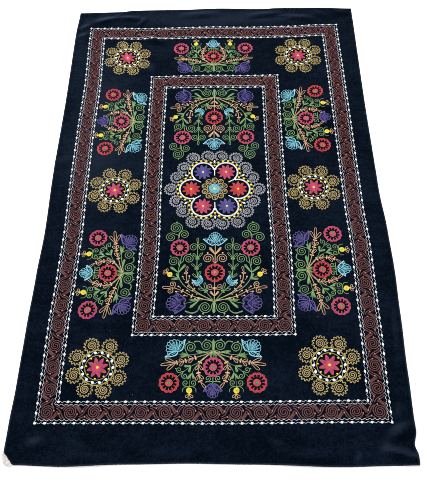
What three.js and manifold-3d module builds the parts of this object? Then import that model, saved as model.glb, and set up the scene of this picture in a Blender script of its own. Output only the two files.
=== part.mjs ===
// Suzani: a velvet wall cloth for chain-stitch embroidery, lying face up, with a pale cotton corner tab.
// Millimetres, +Z up. The origin is on the underside, below the middle of the cloth's round medallion,
// and +Y runs along the cloth to its far end.

import * as THREE from 'three';
import { mergeVertices } from 'three/addons/utils/BufferGeometryUtils.js';
import Module from 'manifold-3d';

const wasm = await Module();
wasm.setup();

// Driving sizes
const CLOTH_THICKNESS = 2;
const HEM = { width: 9, slope: 4, extra: 0.8 };
const CORNER_CUT = { alongX: 37, alongY: 42 };
const TAB_THICKNESS = 1;

// The uneven outline: where each edge runs, from one corner to the next
const LEFT_EDGE = [
  { y: -1083, x: -692 },
  { y: -980, x: -691 },
  { y: -840, x: -686 },
  { y: -630, x: -684 },
  { y: -420, x: -679 },
  { y: -210, x: -672 },
  { y: 70, x: -676 },
  { y: 490, x: -672 },
  { y: 910, x: -674 },
  { y: 1062, x: -668 },
];
const RIGHT_EDGE = [
  { y: -1083, x: 673 },
  { y: -1048, x: 674 },
  { y: -1019, x: 667 },
  { y: -975, x: 677 },
  { y: -770, x: 681 },
  { y: -560, x: 687 },
  { y: -385, x: 691 },
  { y: -210, x: 688 },
  { y: 0, x: 679 },
  { y: 420, x: 677 },
  { y: 1062, x: 681 },
];
const BOTTOM_EDGE = [
  { x: -692, y: -1081 },
  { x: -510, y: -1086 },
  { x: -300, y: -1079 },
  { x: -90, y: -1076 },
  { x: 120, y: -1079 },
  { x: 420, y: -1087 },
  { x: 600, y: -1083 },
  { x: 673, y: -1082 },
];
const TOP_EDGE = [
  { x: -668, y: 1060 },
  { x: -490, y: 1064 },
  { x: -420, y: 1072 },
  { x: -180, y: 1073 },
  { x: 0, y: 1077 },
  { x: 240, y: 1069 },
  { x: 300, y: 1073 },
  { x: 480, y: 1072 },
  { x: 681, y: 1061 },
];

// Soft ridges where the cloth lifts off what it lies on: the middle of each ridge, the way it runs,
// in degrees from +X, and its full length, full width and height
const FOLDS = [
  { x: -532, y: 1003, angle: 15, length: 190, width: 62, height: 7 },
  { x: -415, y: 1016, angle: -4, length: 180, width: 56, height: 5.5 },
  { x: -350, y: 990, angle: 58, length: 110, width: 50, height: 4 },
  { x: -630, y: 955, angle: 35, length: 110, width: 54, height: 4 },
  { x: -632, y: 898, angle: 20, length: 100, width: 56, height: 3.5 },
  { x: -285, y: 862, angle: -24, length: 190, width: 64, height: 7 },
  { x: -60, y: 1034, angle: 3, length: 300, width: 66, height: 5 },
  { x: 250, y: 1026, angle: 5, length: 250, width: 64, height: 6 },
  { x: 420, y: 1004, angle: -8, length: 200, width: 58, height: 5 },
  { x: 535, y: 1018, angle: -42, length: 160, width: 56, height: 6 },
  { x: 625, y: 1034, angle: -6, length: 120, width: 50, height: 5 },
  { x: -648, y: 135, angle: 12, length: 110, width: 90, height: 3 },
  { x: 664, y: -345, angle: 88, length: 560, width: 90, height: 6 },
  { x: 632, y: -978, angle: 24, length: 170, width: 72, height: 9 },
  { x: 628, y: -1054, angle: -16, length: 190, width: 70, height: 10 },
  { x: 330, y: -1064, angle: 4, length: 330, width: 80, height: 5 },
  { x: -10, y: -1046, angle: -30, length: 170, width: 60, height: 4 },
  { x: -430, y: -1068, angle: -2, length: 320, width: 70, height: 4 },
  { x: -674, y: -1062, angle: -49, length: 210, width: 140, height: 1.75 },
];

// Spans of even grid lines, from the left and from the bottom: finer where the cloth is hemmed or creased
const EDGE_SPANS = [
  { length: HEM.width, steps: 1 },
  { length: HEM.slope, steps: 1 },
];
const COLUMN_SPANS = [
  ...EDGE_SPANS,
  { length: 107, steps: 4 },
  { length: 1116, steps: 26 },
  { length: 107, steps: 4 },
  ...EDGE_SPANS.toReversed(),
];
const ROW_SPANS = [
  ...EDGE_SPANS,
  { length: 117, steps: 6 },
  { length: 1750, steps: 17 },
  { length: 120, steps: 5 },
  { length: 137, steps: 8 },
  ...EDGE_SPANS.toReversed(),
];

// The pale cotton tab in the cut corner: places along the cut, and how far out of it they lie.
// Its inner strip is tucked under the velvet.
const TAB_OUTLINE = [
  { along: -1, out: -9 },
  { along: 0, out: 3 },
  { along: 8, out: 15 },
  { along: 35, out: 21 },
  { along: 54, out: 14 },
  { along: 55, out: -9 },
];

// Follows a table of rows: an S-shaped step from each row's value to the next
function follow(rows, placeName, valueName, place) {
  const last = rows.length - 1;
  if (place <= rows[0][placeName]) return rows[0][valueName];
  if (place >= rows[last][placeName]) return rows[last][valueName];
  const next = rows.findIndex((row) => row[placeName] > place);
  const [a, b] = [rows[next - 1], rows[next]];
  const share = THREE.MathUtils.smoothstep(place, a[placeName], b[placeName]);
  return THREE.MathUtils.lerp(a[valueName], b[valueName], share);
}

// A round-topped bump that falls to nothing, and stays there, one reach away from its middle
function bump(distance, reach) {
  const share = Math.min(Math.abs(distance) / reach, 1);
  return Math.cos((share * Math.PI) / 2) ** 2;
}

// How far the cloth's underside is lifted at a place
function lift(x, y) {
  let height = 0;
  for (const fold of FOLDS) {
    const turn = THREE.MathUtils.degToRad(fold.angle);
    const [dx, dy] = [x - fold.x, y - fold.y];
    const along = dx * Math.cos(turn) + dy * Math.sin(turn);
    const across = dy * Math.cos(turn) - dx * Math.sin(turn);
    height += fold.height * bump(along, fold.length / 2) * bump(across, fold.width / 2);
  }
  return height;
}

// The distances of the grid lines from the first one
function gridLines(spans) {
  const lines = [0];
  for (const { length, steps } of spans) {
    const start = lines.at(-1);
    for (let step = 1; step <= steps; step += 1) lines.push(start + (length * step) / steps);
  }
  return lines;
}

// The top and underside of a sheet over a grid, joined round the rim into one closed body
function sheetGeometry(columns, rows, placePoint) {
  const points = [];
  for (const isTop of [false, true]) {
    for (let row = 0; row < rows; row += 1) {
      for (let column = 0; column < columns; column += 1) points.push(...placePoint(column, row, isTop));
    }
  }
  const faces = [];
  const under = (column, row) => row * columns + column;
  const over = (column, row) => columns * rows + under(column, row);
  const quad = (a, b, c, d) => faces.push(a, b, c, a, c, d);
  for (let row = 0; row + 1 < rows; row += 1) {
    for (let column = 0; column + 1 < columns; column += 1) {
      const [right, back] = [column + 1, row + 1];
      quad(over(column, row), over(right, row), over(right, back), over(column, back));
      quad(under(column, row), under(column, back), under(right, back), under(right, row));
    }
  }
  for (let column = 0; column + 1 < columns; column += 1) {
    const [right, back] = [column + 1, rows - 1];
    quad(under(column, 0), under(right, 0), over(right, 0), over(column, 0));
    quad(under(right, back), under(column, back), over(column, back), over(right, back));
  }
  for (let row = 0; row + 1 < rows; row += 1) {
    const [right, back] = [columns - 1, row + 1];
    quad(under(0, back), under(0, row), over(0, row), over(0, back));
    quad(under(right, row), under(right, back), over(right, back), over(right, row));
  }
  const geometry = new THREE.BufferGeometry();
  geometry.setAttribute('position', new THREE.Float32BufferAttribute(points, 3));
  geometry.setIndex(faces);
  return geometry;
}

function toSolid(geometry) {
  const bare = geometry.clone();
  bare.deleteAttribute('normal');
  bare.deleteAttribute('uv');
  const merged = mergeVertices(bare);
  return new wasm.Manifold(new wasm.Mesh({
    numProp: 3,
    vertProperties: new Float32Array(merged.attributes.position.array),
    triVerts: new Uint32Array(merged.index.array),
  }));
}

function toGeometry(solid) {
  const { vertProperties, triVerts } = solid.getMesh();
  const geometry = new THREE.BufferGeometry();
  geometry.setAttribute('position', new THREE.BufferAttribute(vertProperties, 3));
  geometry.setIndex(new THREE.BufferAttribute(triVerts, 1));
  return geometry;
}

// The ends of the slanting cut across the near left corner, the upper one first
function cornerCutEnds() {
  const [x, y] = [LEFT_EDGE[0].x, BOTTOM_EDGE[0].y];
  return {
    upper: new THREE.Vector2(x, y + CORNER_CUT.alongY),
    lower: new THREE.Vector2(x + CORNER_CUT.alongX, y),
  };
}

// A block over the corner, one long side on the cut
function cornerCutter() {
  const { upper, lower } = cornerCutEnds();
  const clearance = 20;
  const run = lower.clone().sub(upper);
  const start = upper.clone().sub(run);
  const end = lower.clone().add(run);
  const outward = new THREE.Vector2(run.y, -run.x).normalize().multiplyScalar(run.length() + clearance);
  const outline = new THREE.Shape([start, start.clone().add(outward), end.clone().add(outward), end]);
  const block = new THREE.ExtrudeGeometry(outline, { depth: 2 * clearance, bevelEnabled: false });
  return block.translate(0, 0, -clearance);
}

function groundCloth() {
  const columnLines = gridLines(COLUMN_SPANS);
  const rowLines = gridLines(ROW_SPANS);
  const [width, length] = [columnLines.at(-1), rowLines.at(-1)];
  const isHem = (place, whole) => Math.min(place, whole - place) <= HEM.width;
  const placePoint = (column, row, isTop) => {
    const share = { x: columnLines[column] / width, y: rowLines[row] / length };
    const plain = {
      x: THREE.MathUtils.lerp(LEFT_EDGE[0].x, RIGHT_EDGE[0].x, share.x),
      y: THREE.MathUtils.lerp(BOTTOM_EDGE[0].y, TOP_EDGE[0].y, share.y),
    };
    const [left, right] = [LEFT_EDGE, RIGHT_EDGE].map((edge) => follow(edge, 'y', 'x', plain.y));
    const [bottom, top] = [BOTTOM_EDGE, TOP_EDGE].map((edge) => follow(edge, 'x', 'y', plain.x));
    const x = THREE.MathUtils.lerp(left, right, share.x);
    const y = THREE.MathUtils.lerp(bottom, top, share.y);
    const hemmed = isHem(columnLines[column], width) || isHem(rowLines[row], length);
    const thickness = CLOTH_THICKNESS + (hemmed ? HEM.extra : 0);
    return [x, y, lift(x, y) + (isTop ? thickness : 0)];
  };
  const whole = toSolid(sheetGeometry(columnLines.length, rowLines.length, placePoint));
  const geometry = toGeometry(whole.subtract(toSolid(cornerCutter())));
  const velvet = new THREE.MeshStandardMaterial({ color: 0x0d1420, roughness: 0.95, metalness: 0 });
  const mesh = new THREE.Mesh(geometry, velvet);
  mesh.name = 'velvet_cloth';
  return mesh;
}

function cornerTab() {
  const { upper, lower } = cornerCutEnds();
  const outline = new THREE.Shape(TAB_OUTLINE.map(({ along, out }) => new THREE.Vector2(along, -out)));
  const geometry = new THREE.ExtrudeGeometry(outline, { depth: TAB_THICKNESS, bevelEnabled: false });
  const cotton = new THREE.MeshStandardMaterial({ color: 0xcfc8bd, roughness: 0.9, metalness: 0 });
  const mesh = new THREE.Mesh(geometry, cotton);
  mesh.name = 'corner_tab';
  mesh.position.set(upper.x, upper.y, 0);
  mesh.rotation.z = lower.clone().sub(upper).angle();
  return mesh;
}

const suzani = new THREE.Group();
suzani.add(groundCloth(), cornerTab());

export default suzani;
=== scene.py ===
"""Suzani: a blue-black velvet cloth worked in chain stitch, lying face up on a pale floor.

The scene is in metres, with +Z up. The origin is on the cloth's underside, below the middle of its
medallion, and +Y runs along the cloth to its far end. Cloth and stitches are drawn in millimetres, and MM
turns them into metres. Motifs are drawn in p, to the side, and q, outwards from where they are rooted.
"""

from __future__ import annotations

import logging
import math
from dataclasses import dataclass, replace
from enum import Enum
from typing import Protocol, Sequence

import bpy
import numpy as np
from mathutils import Matrix, Vector

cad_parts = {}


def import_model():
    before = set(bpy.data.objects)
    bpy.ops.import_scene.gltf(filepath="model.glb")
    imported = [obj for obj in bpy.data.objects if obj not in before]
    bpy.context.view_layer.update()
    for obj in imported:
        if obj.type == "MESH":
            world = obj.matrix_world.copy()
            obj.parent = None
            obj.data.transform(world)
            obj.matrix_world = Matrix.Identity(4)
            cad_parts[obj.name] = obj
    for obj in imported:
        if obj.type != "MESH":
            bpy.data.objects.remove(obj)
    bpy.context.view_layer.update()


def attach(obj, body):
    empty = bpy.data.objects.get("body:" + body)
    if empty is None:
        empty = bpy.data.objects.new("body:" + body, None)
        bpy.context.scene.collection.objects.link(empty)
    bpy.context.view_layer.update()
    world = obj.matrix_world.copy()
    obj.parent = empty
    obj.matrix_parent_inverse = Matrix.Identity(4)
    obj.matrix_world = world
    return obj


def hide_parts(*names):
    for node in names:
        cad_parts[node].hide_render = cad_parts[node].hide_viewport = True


MM = 0.001
BODY = "root"
LOG = logging.getLogger("suzani")

Pair = tuple[float, float]
Table = tuple[Pair, ...]
Point = tuple[float, float, float]
Widths = tuple[float, ...]
Arrays = tuple[np.ndarray, np.ndarray, list[np.ndarray]]
Colour = tuple[int, int, int]
Piece = bpy.types.Object
Material = bpy.types.Material
NodeTree = bpy.types.NodeTree
Socket = bpy.types.NodeSocket


# Curves and meshes


def linear_colour(colour: Colour) -> tuple[float, float, float, float]:
    """Turns a screen colour into the scene's linear one by the sRGB curve: a straight foot, then a power.

    Args:
        colour: Red, green and blue, from 0 to 255.

    Returns:
        Linear red, green, blue and an alpha of 1.
    """
    shares = np.array(colour) / 255
    linear = np.where(shares <= 0.04045, shares / 12.92, ((shares + 0.055) / 1.055) ** 2.4)
    return (*map(float, linear), 1.0)


def follow(table: Table, places: np.ndarray) -> np.ndarray:
    """Follows a table of places and values: an S-shaped step from each row's value to the next.

    Args:
        table: Rows of (place, value), places rising.
        places: Where to read it. Beyond either end the end's value holds.

    Returns:
        The values there.
    """
    rows = np.asarray(table, float)
    place = np.clip(places, rows[0, 0], rows[-1, 0])
    index = np.clip(np.searchsorted(rows[:, 0], place, side="right") - 1, 0, len(rows) - 2)
    share = (place - rows[index, 0]) / (rows[index + 1, 0] - rows[index, 0])
    step = share * share * (3 - 2 * share)
    return rows[index, 1] + step * (rows[index + 1, 1] - rows[index, 1])


def smooth_path(knots: Sequence[Pair], steps: int = 8) -> np.ndarray:
    """Draws a Catmull-Rom curve: between two knots, the cubic whose end slopes are its neighbours' chords.

    Args:
        knots: Two or more points that the curve passes through.
        steps: Points for each stretch.

    Returns:
        Points along the curve, one row each.
    """
    inner = np.asarray(knots, float)
    padded = np.vstack([2 * inner[0] - inner[1], inner, 2 * inner[-1] - inner[-2]])
    before, start, stop, after = padded[:-3], padded[1:-2], padded[2:-1], padded[3:]
    share = np.linspace(0, 1, steps, endpoint=False)[:, None, None]
    bend = 2 * before - 5 * start + 4 * stop - after
    twist = 3 * start - before - 3 * stop + after
    curve = start + 0.5 * ((stop - before) * share + bend * share**2 + twist * share**3)
    return np.vstack([curve.transpose(1, 0, 2).reshape(-1, 2), inner[-1]])


def arc(centre: Pair, radius: float | np.ndarray, start: float, stop: float, steps: int = 24) -> np.ndarray:
    """Draws an arc: the angle runs evenly, in degrees, and the radius is fixed or follows an array."""
    angle = np.radians(np.linspace(start, stop, steps))
    return np.asarray(centre, float) + np.column_stack([radius * np.cos(angle), radius * np.sin(angle)])


def spiral(centre: Pair, radius: float, start: float, winding: int, pitch: float) -> np.ndarray:
    """Draws a spiral that winds in evenly from its rim until it is a quarter of a pitch from its centre.

    Args:
        centre: The spiral's centre.
        radius: Radius half a turn in from the rim.
        start: Angle of the rim's end in degrees.
        winding: 1 to wind anticlockwise, -1 clockwise.
        pitch: Distance between turns.

    Returns:
        Points from the rim to the middle.
    """
    eye, rim = pitch / 4, radius + pitch / 2
    turns = (rim - eye) / pitch
    points_a_turn, spare_points = 18, 6
    steps = int(points_a_turn * turns) + spare_points
    return arc(centre, np.linspace(rim, eye, steps), start, start + winding * 360 * turns, steps)


def scalloped_ring(radius: float, depth: float, scallops: int) -> np.ndarray:
    """Draws a ring about the origin whose radius swells by a half wave of a sine in each scallop.

    Args:
        radius: The radius between scallops.
        depth: How far each scallop stands out.
        scallops: Their number.

    Returns:
        Points round the ring, one row each.
    """
    points_a_scallop = 12
    steps = points_a_scallop * scallops + 1
    swell = np.abs(np.sin(np.linspace(0, math.pi * scallops, steps)))
    return arc((0, 0), radius + depth * swell, 0, 360, steps)


def on_circle(centre: Pair, radius: float, bearing: float) -> Pair:
    """Gives the point of a circle that lies at a bearing in degrees."""
    turn = math.radians(bearing)
    return centre[0] + radius * math.cos(turn), centre[1] + radius * math.sin(turn)


def axis_of(base: Pair, tip: Pair) -> tuple[np.ndarray, np.ndarray, np.ndarray]:
    """Gives a motif's base, the run from there to its tip, and the unit step to the left of that run."""
    run = np.array(tip, float) - np.array(base, float)
    return np.array(base, float), run, np.array([-run[1], run[0]]) / np.linalg.norm(run)


def make_object(
    name: str,
    vertices: np.ndarray,
    faces: Sequence[np.ndarray],
    materials: Sequence[Material],
    face_materials: np.ndarray | None = None,
) -> Piece:
    """Makes a smooth-shaded mesh object at the origin from whole arrays.

    Args:
        name: The piece's name.
        vertices: Points in metres, one row each.
        faces: Arrays of faces, each with one number of corners.
        materials: The piece's materials.
        face_materials: Material number of each face, in the order of faces.

    Returns:
        The new object, in the scene.
    """
    mesh = bpy.data.meshes.new(name)
    corners = np.concatenate([block.ravel() for block in faces])
    sides = np.concatenate([np.full(len(block), block.shape[1]) for block in faces])
    mesh.vertices.add(len(vertices))
    mesh.vertices.foreach_set("co", np.ascontiguousarray(vertices, np.float32).ravel())
    mesh.loops.add(len(corners))
    mesh.loops.foreach_set("vertex_index", corners.astype(np.int32))
    mesh.polygons.add(len(sides))
    mesh.polygons.foreach_set("loop_start", np.concatenate([[0], np.cumsum(sides)[:-1]]).astype(np.int32))
    mesh.polygons.foreach_set("use_smooth", np.ones(len(sides), bool))
    for material in materials:
        mesh.materials.append(material)
    if face_materials is not None:
        mesh.polygons.foreach_set("material_index", face_materials.astype(np.int32))
    mesh.update(calc_edges=True)
    piece = bpy.data.objects.new(name, mesh)
    bpy.context.scene.collection.objects.link(piece)
    return piece


def add_attribute(piece: Piece, name: str, values: np.ndarray) -> None:
    """Stores a number or a vector on each of a piece's points, for its material to read.

    Args:
        piece: A mesh object.
        name: The attribute's name.
        values: One number, or one row of three, for each point.
    """
    is_vector = values.ndim == 2
    kind, key = ("FLOAT_VECTOR", "vector") if is_vector else ("FLOAT", "value")
    attribute = piece.data.attributes.new(name, kind, "POINT")
    attribute.data.foreach_set(key, np.ascontiguousarray(values, np.float32).ravel())


def sheet_faces(columns: int, rows: int) -> tuple[np.ndarray, np.ndarray, np.ndarray]:
    """Joins a grid's top, underside and bulged rim into one closed sheet.

    Points are numbered top first, row by row, then the underside, then the rim's middle ring, which starts at
    the first corner and runs anticlockwise seen from above.

    Args:
        columns: Points across.
        rows: Points along.

    Returns:
        The quads of the top, of the underside and of the rim.
    """
    grid = np.arange(columns * rows).reshape(rows, columns)
    top = np.stack([grid[:-1, :-1], grid[:-1, 1:], grid[1:, 1:], grid[1:, :-1]], -1).reshape(-1, 4)
    under = top[:, ::-1] + grid.size
    loop = rim_loop(columns, rows)
    ahead = np.roll(loop, -1)
    middle = 2 * grid.size + np.arange(len(loop))
    middle_ahead = np.roll(middle, -1)
    upper = np.stack([loop, middle, middle_ahead, ahead], -1)
    lower = np.stack([middle, loop + grid.size, ahead + grid.size, middle_ahead], -1)
    return top, under, np.concatenate([upper, lower])


def rim_loop(columns: int, rows: int) -> np.ndarray:
    """Lists the numbers of a grid's outer points, from the first corner, anticlockwise seen from above."""
    grid = np.arange(columns * rows).reshape(rows, columns)
    return np.concatenate([grid[0, :-1], grid[:-1, -1], grid[-1, :0:-1], grid[:0:-1, 0]])


def closed_sheet(flat: np.ndarray, upper: np.ndarray, lower: np.ndarray, bulge: float) -> np.ndarray:
    """Lists a closed sheet's points: its top, its underside, and a ring that rounds its rim.

    The ring lies halfway up the rim, moved outwards by the bulge along the outline's own normal.

    Args:
        flat: A grid of x and y, rows by columns by 2.
        upper: The top's heights on that grid.
        lower: The underside's heights.
        bulge: How far the ring stands out.

    Returns:
        Points in sheet_faces' order.
    """
    rows, columns = upper.shape
    plan = flat.reshape(-1, 2)
    loop = rim_loop(columns, rows)
    edge = plan[loop]
    run = np.roll(edge, -1, 0) - np.roll(edge, 1, 0)
    normal = np.column_stack([run[:, 1], -run[:, 0]])
    normal /= np.linalg.norm(normal, axis=1, keepdims=True)
    middle = (upper.ravel()[loop] + lower.ravel()[loop]) / 2
    ring = np.column_stack([edge + bulge * normal, middle])
    return np.vstack([np.column_stack([plan, upper.ravel()]), np.column_stack([plan, lower.ravel()]), ring])


# How the cloth lies


@dataclass(frozen=True)
class Fold:
    """A soft ridge: its middle, the way it runs in degrees from +X, and its length, width and height."""

    x: float
    y: float
    angle: float
    length: float
    width: float
    height: float


@dataclass(frozen=True)
class Ripple:
    """A faint wave all over the cloth: its length, the way it travels in degrees, its phase and height."""

    length: float
    angle: float
    phase: float
    height: float


@dataclass(frozen=True)
class Drape:
    """The lie of the cloth: its uneven outline, ridges and creases, and how its embroidery wanders."""

    thickness: float = 2.0
    left: Table = (
        (-1081, -674), (-1060, -692), (-980, -691), (-840, -686), (-630, -684), (-420, -679),
        (-210, -672), (70, -676), (490, -672), (910, -674), (1062, -668),
    )
    right: Table = (
        (-1083, 673), (-1048, 674), (-1019, 667), (-975, 677), (-770, 681), (-560, 687),
        (-385, 691), (-210, 688), (0, 679), (420, 677), (1062, 681),
    )
    bottom: Table = (
        (-692, -1060), (-673, -1081), (-510, -1086), (-300, -1079), (-90, -1076), (120, -1079),
        (420, -1087), (600, -1083), (673, -1082),
    )
    top: Table = (
        (-668, 1060), (-490, 1064), (-420, 1072), (-180, 1073), (0, 1077), (240, 1069),
        (300, 1073), (480, 1072), (681, 1061),
    )
    corner: tuple[float, float, float, float] = (-692, 673, -1081, 1060)
    folds: tuple[Fold, ...] = (
        Fold(-532, 1003, 15, 190, 62, 7), Fold(-415, 1016, -4, 180, 56, 5.5),
        Fold(-350, 990, 58, 110, 50, 4), Fold(-630, 955, 35, 110, 54, 4),
        Fold(-632, 898, 20, 100, 56, 3.5), Fold(-285, 862, -24, 190, 64, 7),
        Fold(-60, 1034, 3, 300, 66, 5), Fold(250, 1026, 5, 250, 64, 6),
        Fold(420, 1004, -8, 200, 58, 5), Fold(535, 1018, -42, 160, 56, 6),
        Fold(625, 1034, -6, 120, 50, 5), Fold(-648, 135, 12, 110, 90, 3),
        Fold(664, -345, 88, 560, 90, 6), Fold(632, -978, 24, 170, 72, 9),
        Fold(628, -1054, -16, 190, 70, 10), Fold(330, -1064, 4, 330, 80, 5),
        Fold(-10, -1046, -30, 170, 60, 4), Fold(-430, -1068, -2, 320, 70, 4),
        Fold(-674, -1062, -49, 210, 140, 1.75),
    )
    creases: tuple[Fold, ...] = (
        Fold(-515, 1005, 17, 160, 26, 2.4), Fold(-416, 1013, -10, 130, 24, 1.8),
        Fold(-343, 989, 60, 84, 22, 1.5), Fold(-645, 955, 27, 96, 24, 1.7),
        Fold(-642, 899, 20, 84, 24, 1.4), Fold(-470, 1042, 12, 60, 22, 1.4),
        Fold(342, 1015, 8, 100, 24, 1.6), Fold(533, 1000, -35, 150, 24, 2.0),
        Fold(640, 1029, -12, 80, 22, 1.6), Fold(-285, 866, -24, 150, 26, 1.6),
        Fold(632, -985, 20, 120, 30, 1.8), Fold(620, -1052, -14, 150, 28, 2.0),
    )
    # Patches where the pile is brushed up, which also paint light: those along the ridges paint highlight,
    # the two broad ones paint sheen over the left side and the far end, and the one of negative height paints
    # a fold's shadow.
    strokes_and_painted_light: tuple[Fold, ...] = (
        Fold(575, -1022, 42, 130, 70, 0.3), Fold(-272, 837, 0, 110, 30, -0.7),
        Fold(628, -905, 72, 170, 52, 0.3), Fold(655, -1058, 18, 130, 44, 0.3),
        Fold(480, -1052, 62, 90, 46, 0.35), Fold(660, -620, 88, 380, 44, 0.3),
        Fold(-598, -1003, 12, 110, 56, 0.45), Fold(-455, -1010, -20, 180, 60, 0.25),
        Fold(-180, -1040, 6, 260, 60, 0.22), Fold(210, -1010, -30, 160, 70, 0.28),
        Fold(-560, 1015, 10, 330, 100, 0.2), Fold(-640, 930, 84, 240, 80, 0.3),
        Fold(330, 1005, 4, 460, 60, 0.2), Fold(-500, 250, 90, 1900, 560, 0.34),
        Fold(0, 1010, 0, 1700, 260, 0.36), Fold(-300, 690, -60, 170, 80, 0.3),
    )
    ripples: tuple[Ripple, ...] = (
        Ripple(310, 20, 0.4, 0.22),
        Ripple(173, -55, 1.9, 0.16),
        Ripple(97, 78, 0.7, 0.12),
        Ripple(61, -12, 2.6, 0.07),
    )
    left_wander: Table = ((-900, -4), (-600, -5), (-400, 1), (-200, 5), (0, 1), (300, 0), (550, 4), (900, -4))
    right_wander: Table = ((-900, -1), (-600, 5), (-300, 8), (-80, 1), (300, -1), (600, -3), (900, -6))
    bottom_wander: Table = ((-500, 2), (-240, 2), (0, 0), (500, 4))
    top_wander: Table = ((-500, 4), (-300, -3), (0, 2), (150, -4), (400, -2), (500, 5))
    border_reach: Pair = (600, 945)
    # The way of the painted light, about the key lamp's bearing: the face is painted lighter where it falls
    # away this way and darker where it rises; the step measures that fall and the gain scales it.
    painted_light_angle: float = 115.0
    slope_step: float = 2.0
    painted_light_gain: float = 1.1

    @staticmethod
    def heap(folds: Sequence[Fold], x: np.ndarray, y: np.ndarray) -> np.ndarray:
        """Adds up ridges: each is a product of two squared cosines, one along it and one across it.

        Args:
            folds: The ridges.
            x: Places across, in millimetres.
            y: Places along.

        Returns:
            Their summed heights.
        """
        height = np.zeros_like(x, float)
        for fold in folds:
            turn = math.radians(fold.angle)
            along = (x - fold.x) * math.cos(turn) + (y - fold.y) * math.sin(turn)
            across = (y - fold.y) * math.cos(turn) - (x - fold.x) * math.sin(turn)
            profile = fold.height
            for reach, size in ((along, fold.length), (across, fold.width)):
                profile = profile * np.cos(np.minimum(np.abs(reach) * 2 / size, 1) * math.pi / 2) ** 2
            height += profile
        return height

    def lift(self, x: np.ndarray, y: np.ndarray) -> np.ndarray:
        """Gives how high the ridges lift the underside, in millimetres."""
        return self.heap(self.folds, x, y)

    def surface(self, x: np.ndarray, y: np.ndarray) -> np.ndarray:
        """Gives the height of the velvet's face: the lift, the thickness, the creases and the faint ripples.

        Args:
            x: Places across, in millimetres.
            y: Places along.

        Returns:
            Heights in millimetres.
        """
        height = self.lift(x, y) + self.thickness + self.heap(self.creases, x, y)
        for ripple in self.ripples:
            turn = math.radians(ripple.angle)
            travel = (x * math.cos(turn) + y * math.sin(turn)) * 2 * math.pi / ripple.length
            height += ripple.height * np.sin(travel + ripple.phase)
        return height

    def nap_and_painted_light(self, x: np.ndarray, y: np.ndarray) -> np.ndarray:
        """Gives the pile's painted light and brushed patches: lighter where the face falls away towards the
        key lamp, plus patches brushed up by a hand and patches of painted sheen and shadow.

        The fall is the difference of the heights a step behind and a step ahead, over the way between them.

        Args:
            x: Places across, in millimetres.
            y: Places along.

        Returns:
            About 0 where the pile is plain, up to about 1 where it is brushed up and where it is painted
            lighter, below 0 where it is painted darker.
        """
        turn = math.radians(self.painted_light_angle)
        step_x, step_y = self.slope_step * math.cos(turn), self.slope_step * math.sin(turn)
        behind = self.surface(x - step_x, y - step_y)
        ahead = self.surface(x + step_x, y + step_y)
        # Painted light: positive where the face falls away towards the key lamp.
        slope = (behind - ahead) / (2 * self.slope_step)
        return slope * self.painted_light_gain + self.heap(self.strokes_and_painted_light, x, y)

    def spread(self, across: np.ndarray, along: np.ndarray) -> np.ndarray:
        """Maps shares of a plain rectangle onto the outline, each edge's wander fading to the opposite edge.

        Args:
            across: Shares from the left edge to the right one, from 0 to 1.
            along: Shares from the near edge to the far one.

        Returns:
            A grid of x and y in millimetres, rows by columns by 2.
        """
        west, east, south, north = self.corner
        u, v = np.meshgrid(across, along)
        plain_x = west + u * (east - west)
        plain_y = south + v * (north - south)
        left, right = follow(self.left, plain_y), follow(self.right, plain_y)
        bottom, top = follow(self.bottom, plain_x), follow(self.top, plain_x)
        return np.stack([left + u * (right - left), bottom + v * (top - bottom)], -1)

    def wander(self, points: np.ndarray) -> np.ndarray:
        """Moves embroidery as the cloth was pulled: each border side's shift fades to the opposite side's.

        Args:
            points: Drawn places in millimetres, one row each.

        Returns:
            The places where they were really stitched.
        """
        x, y = points.T
        u = (x / self.border_reach[0] + 1) / 2
        v = (y / self.border_reach[1] + 1) / 2
        shift_x = follow(self.left_wander, y) * (1 - u) + follow(self.right_wander, y) * u
        shift_y = follow(self.bottom_wander, x) * (1 - v) + follow(self.top_wander, x) * v
        return np.column_stack([x + shift_x, y + shift_y])


# Finishes


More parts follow.
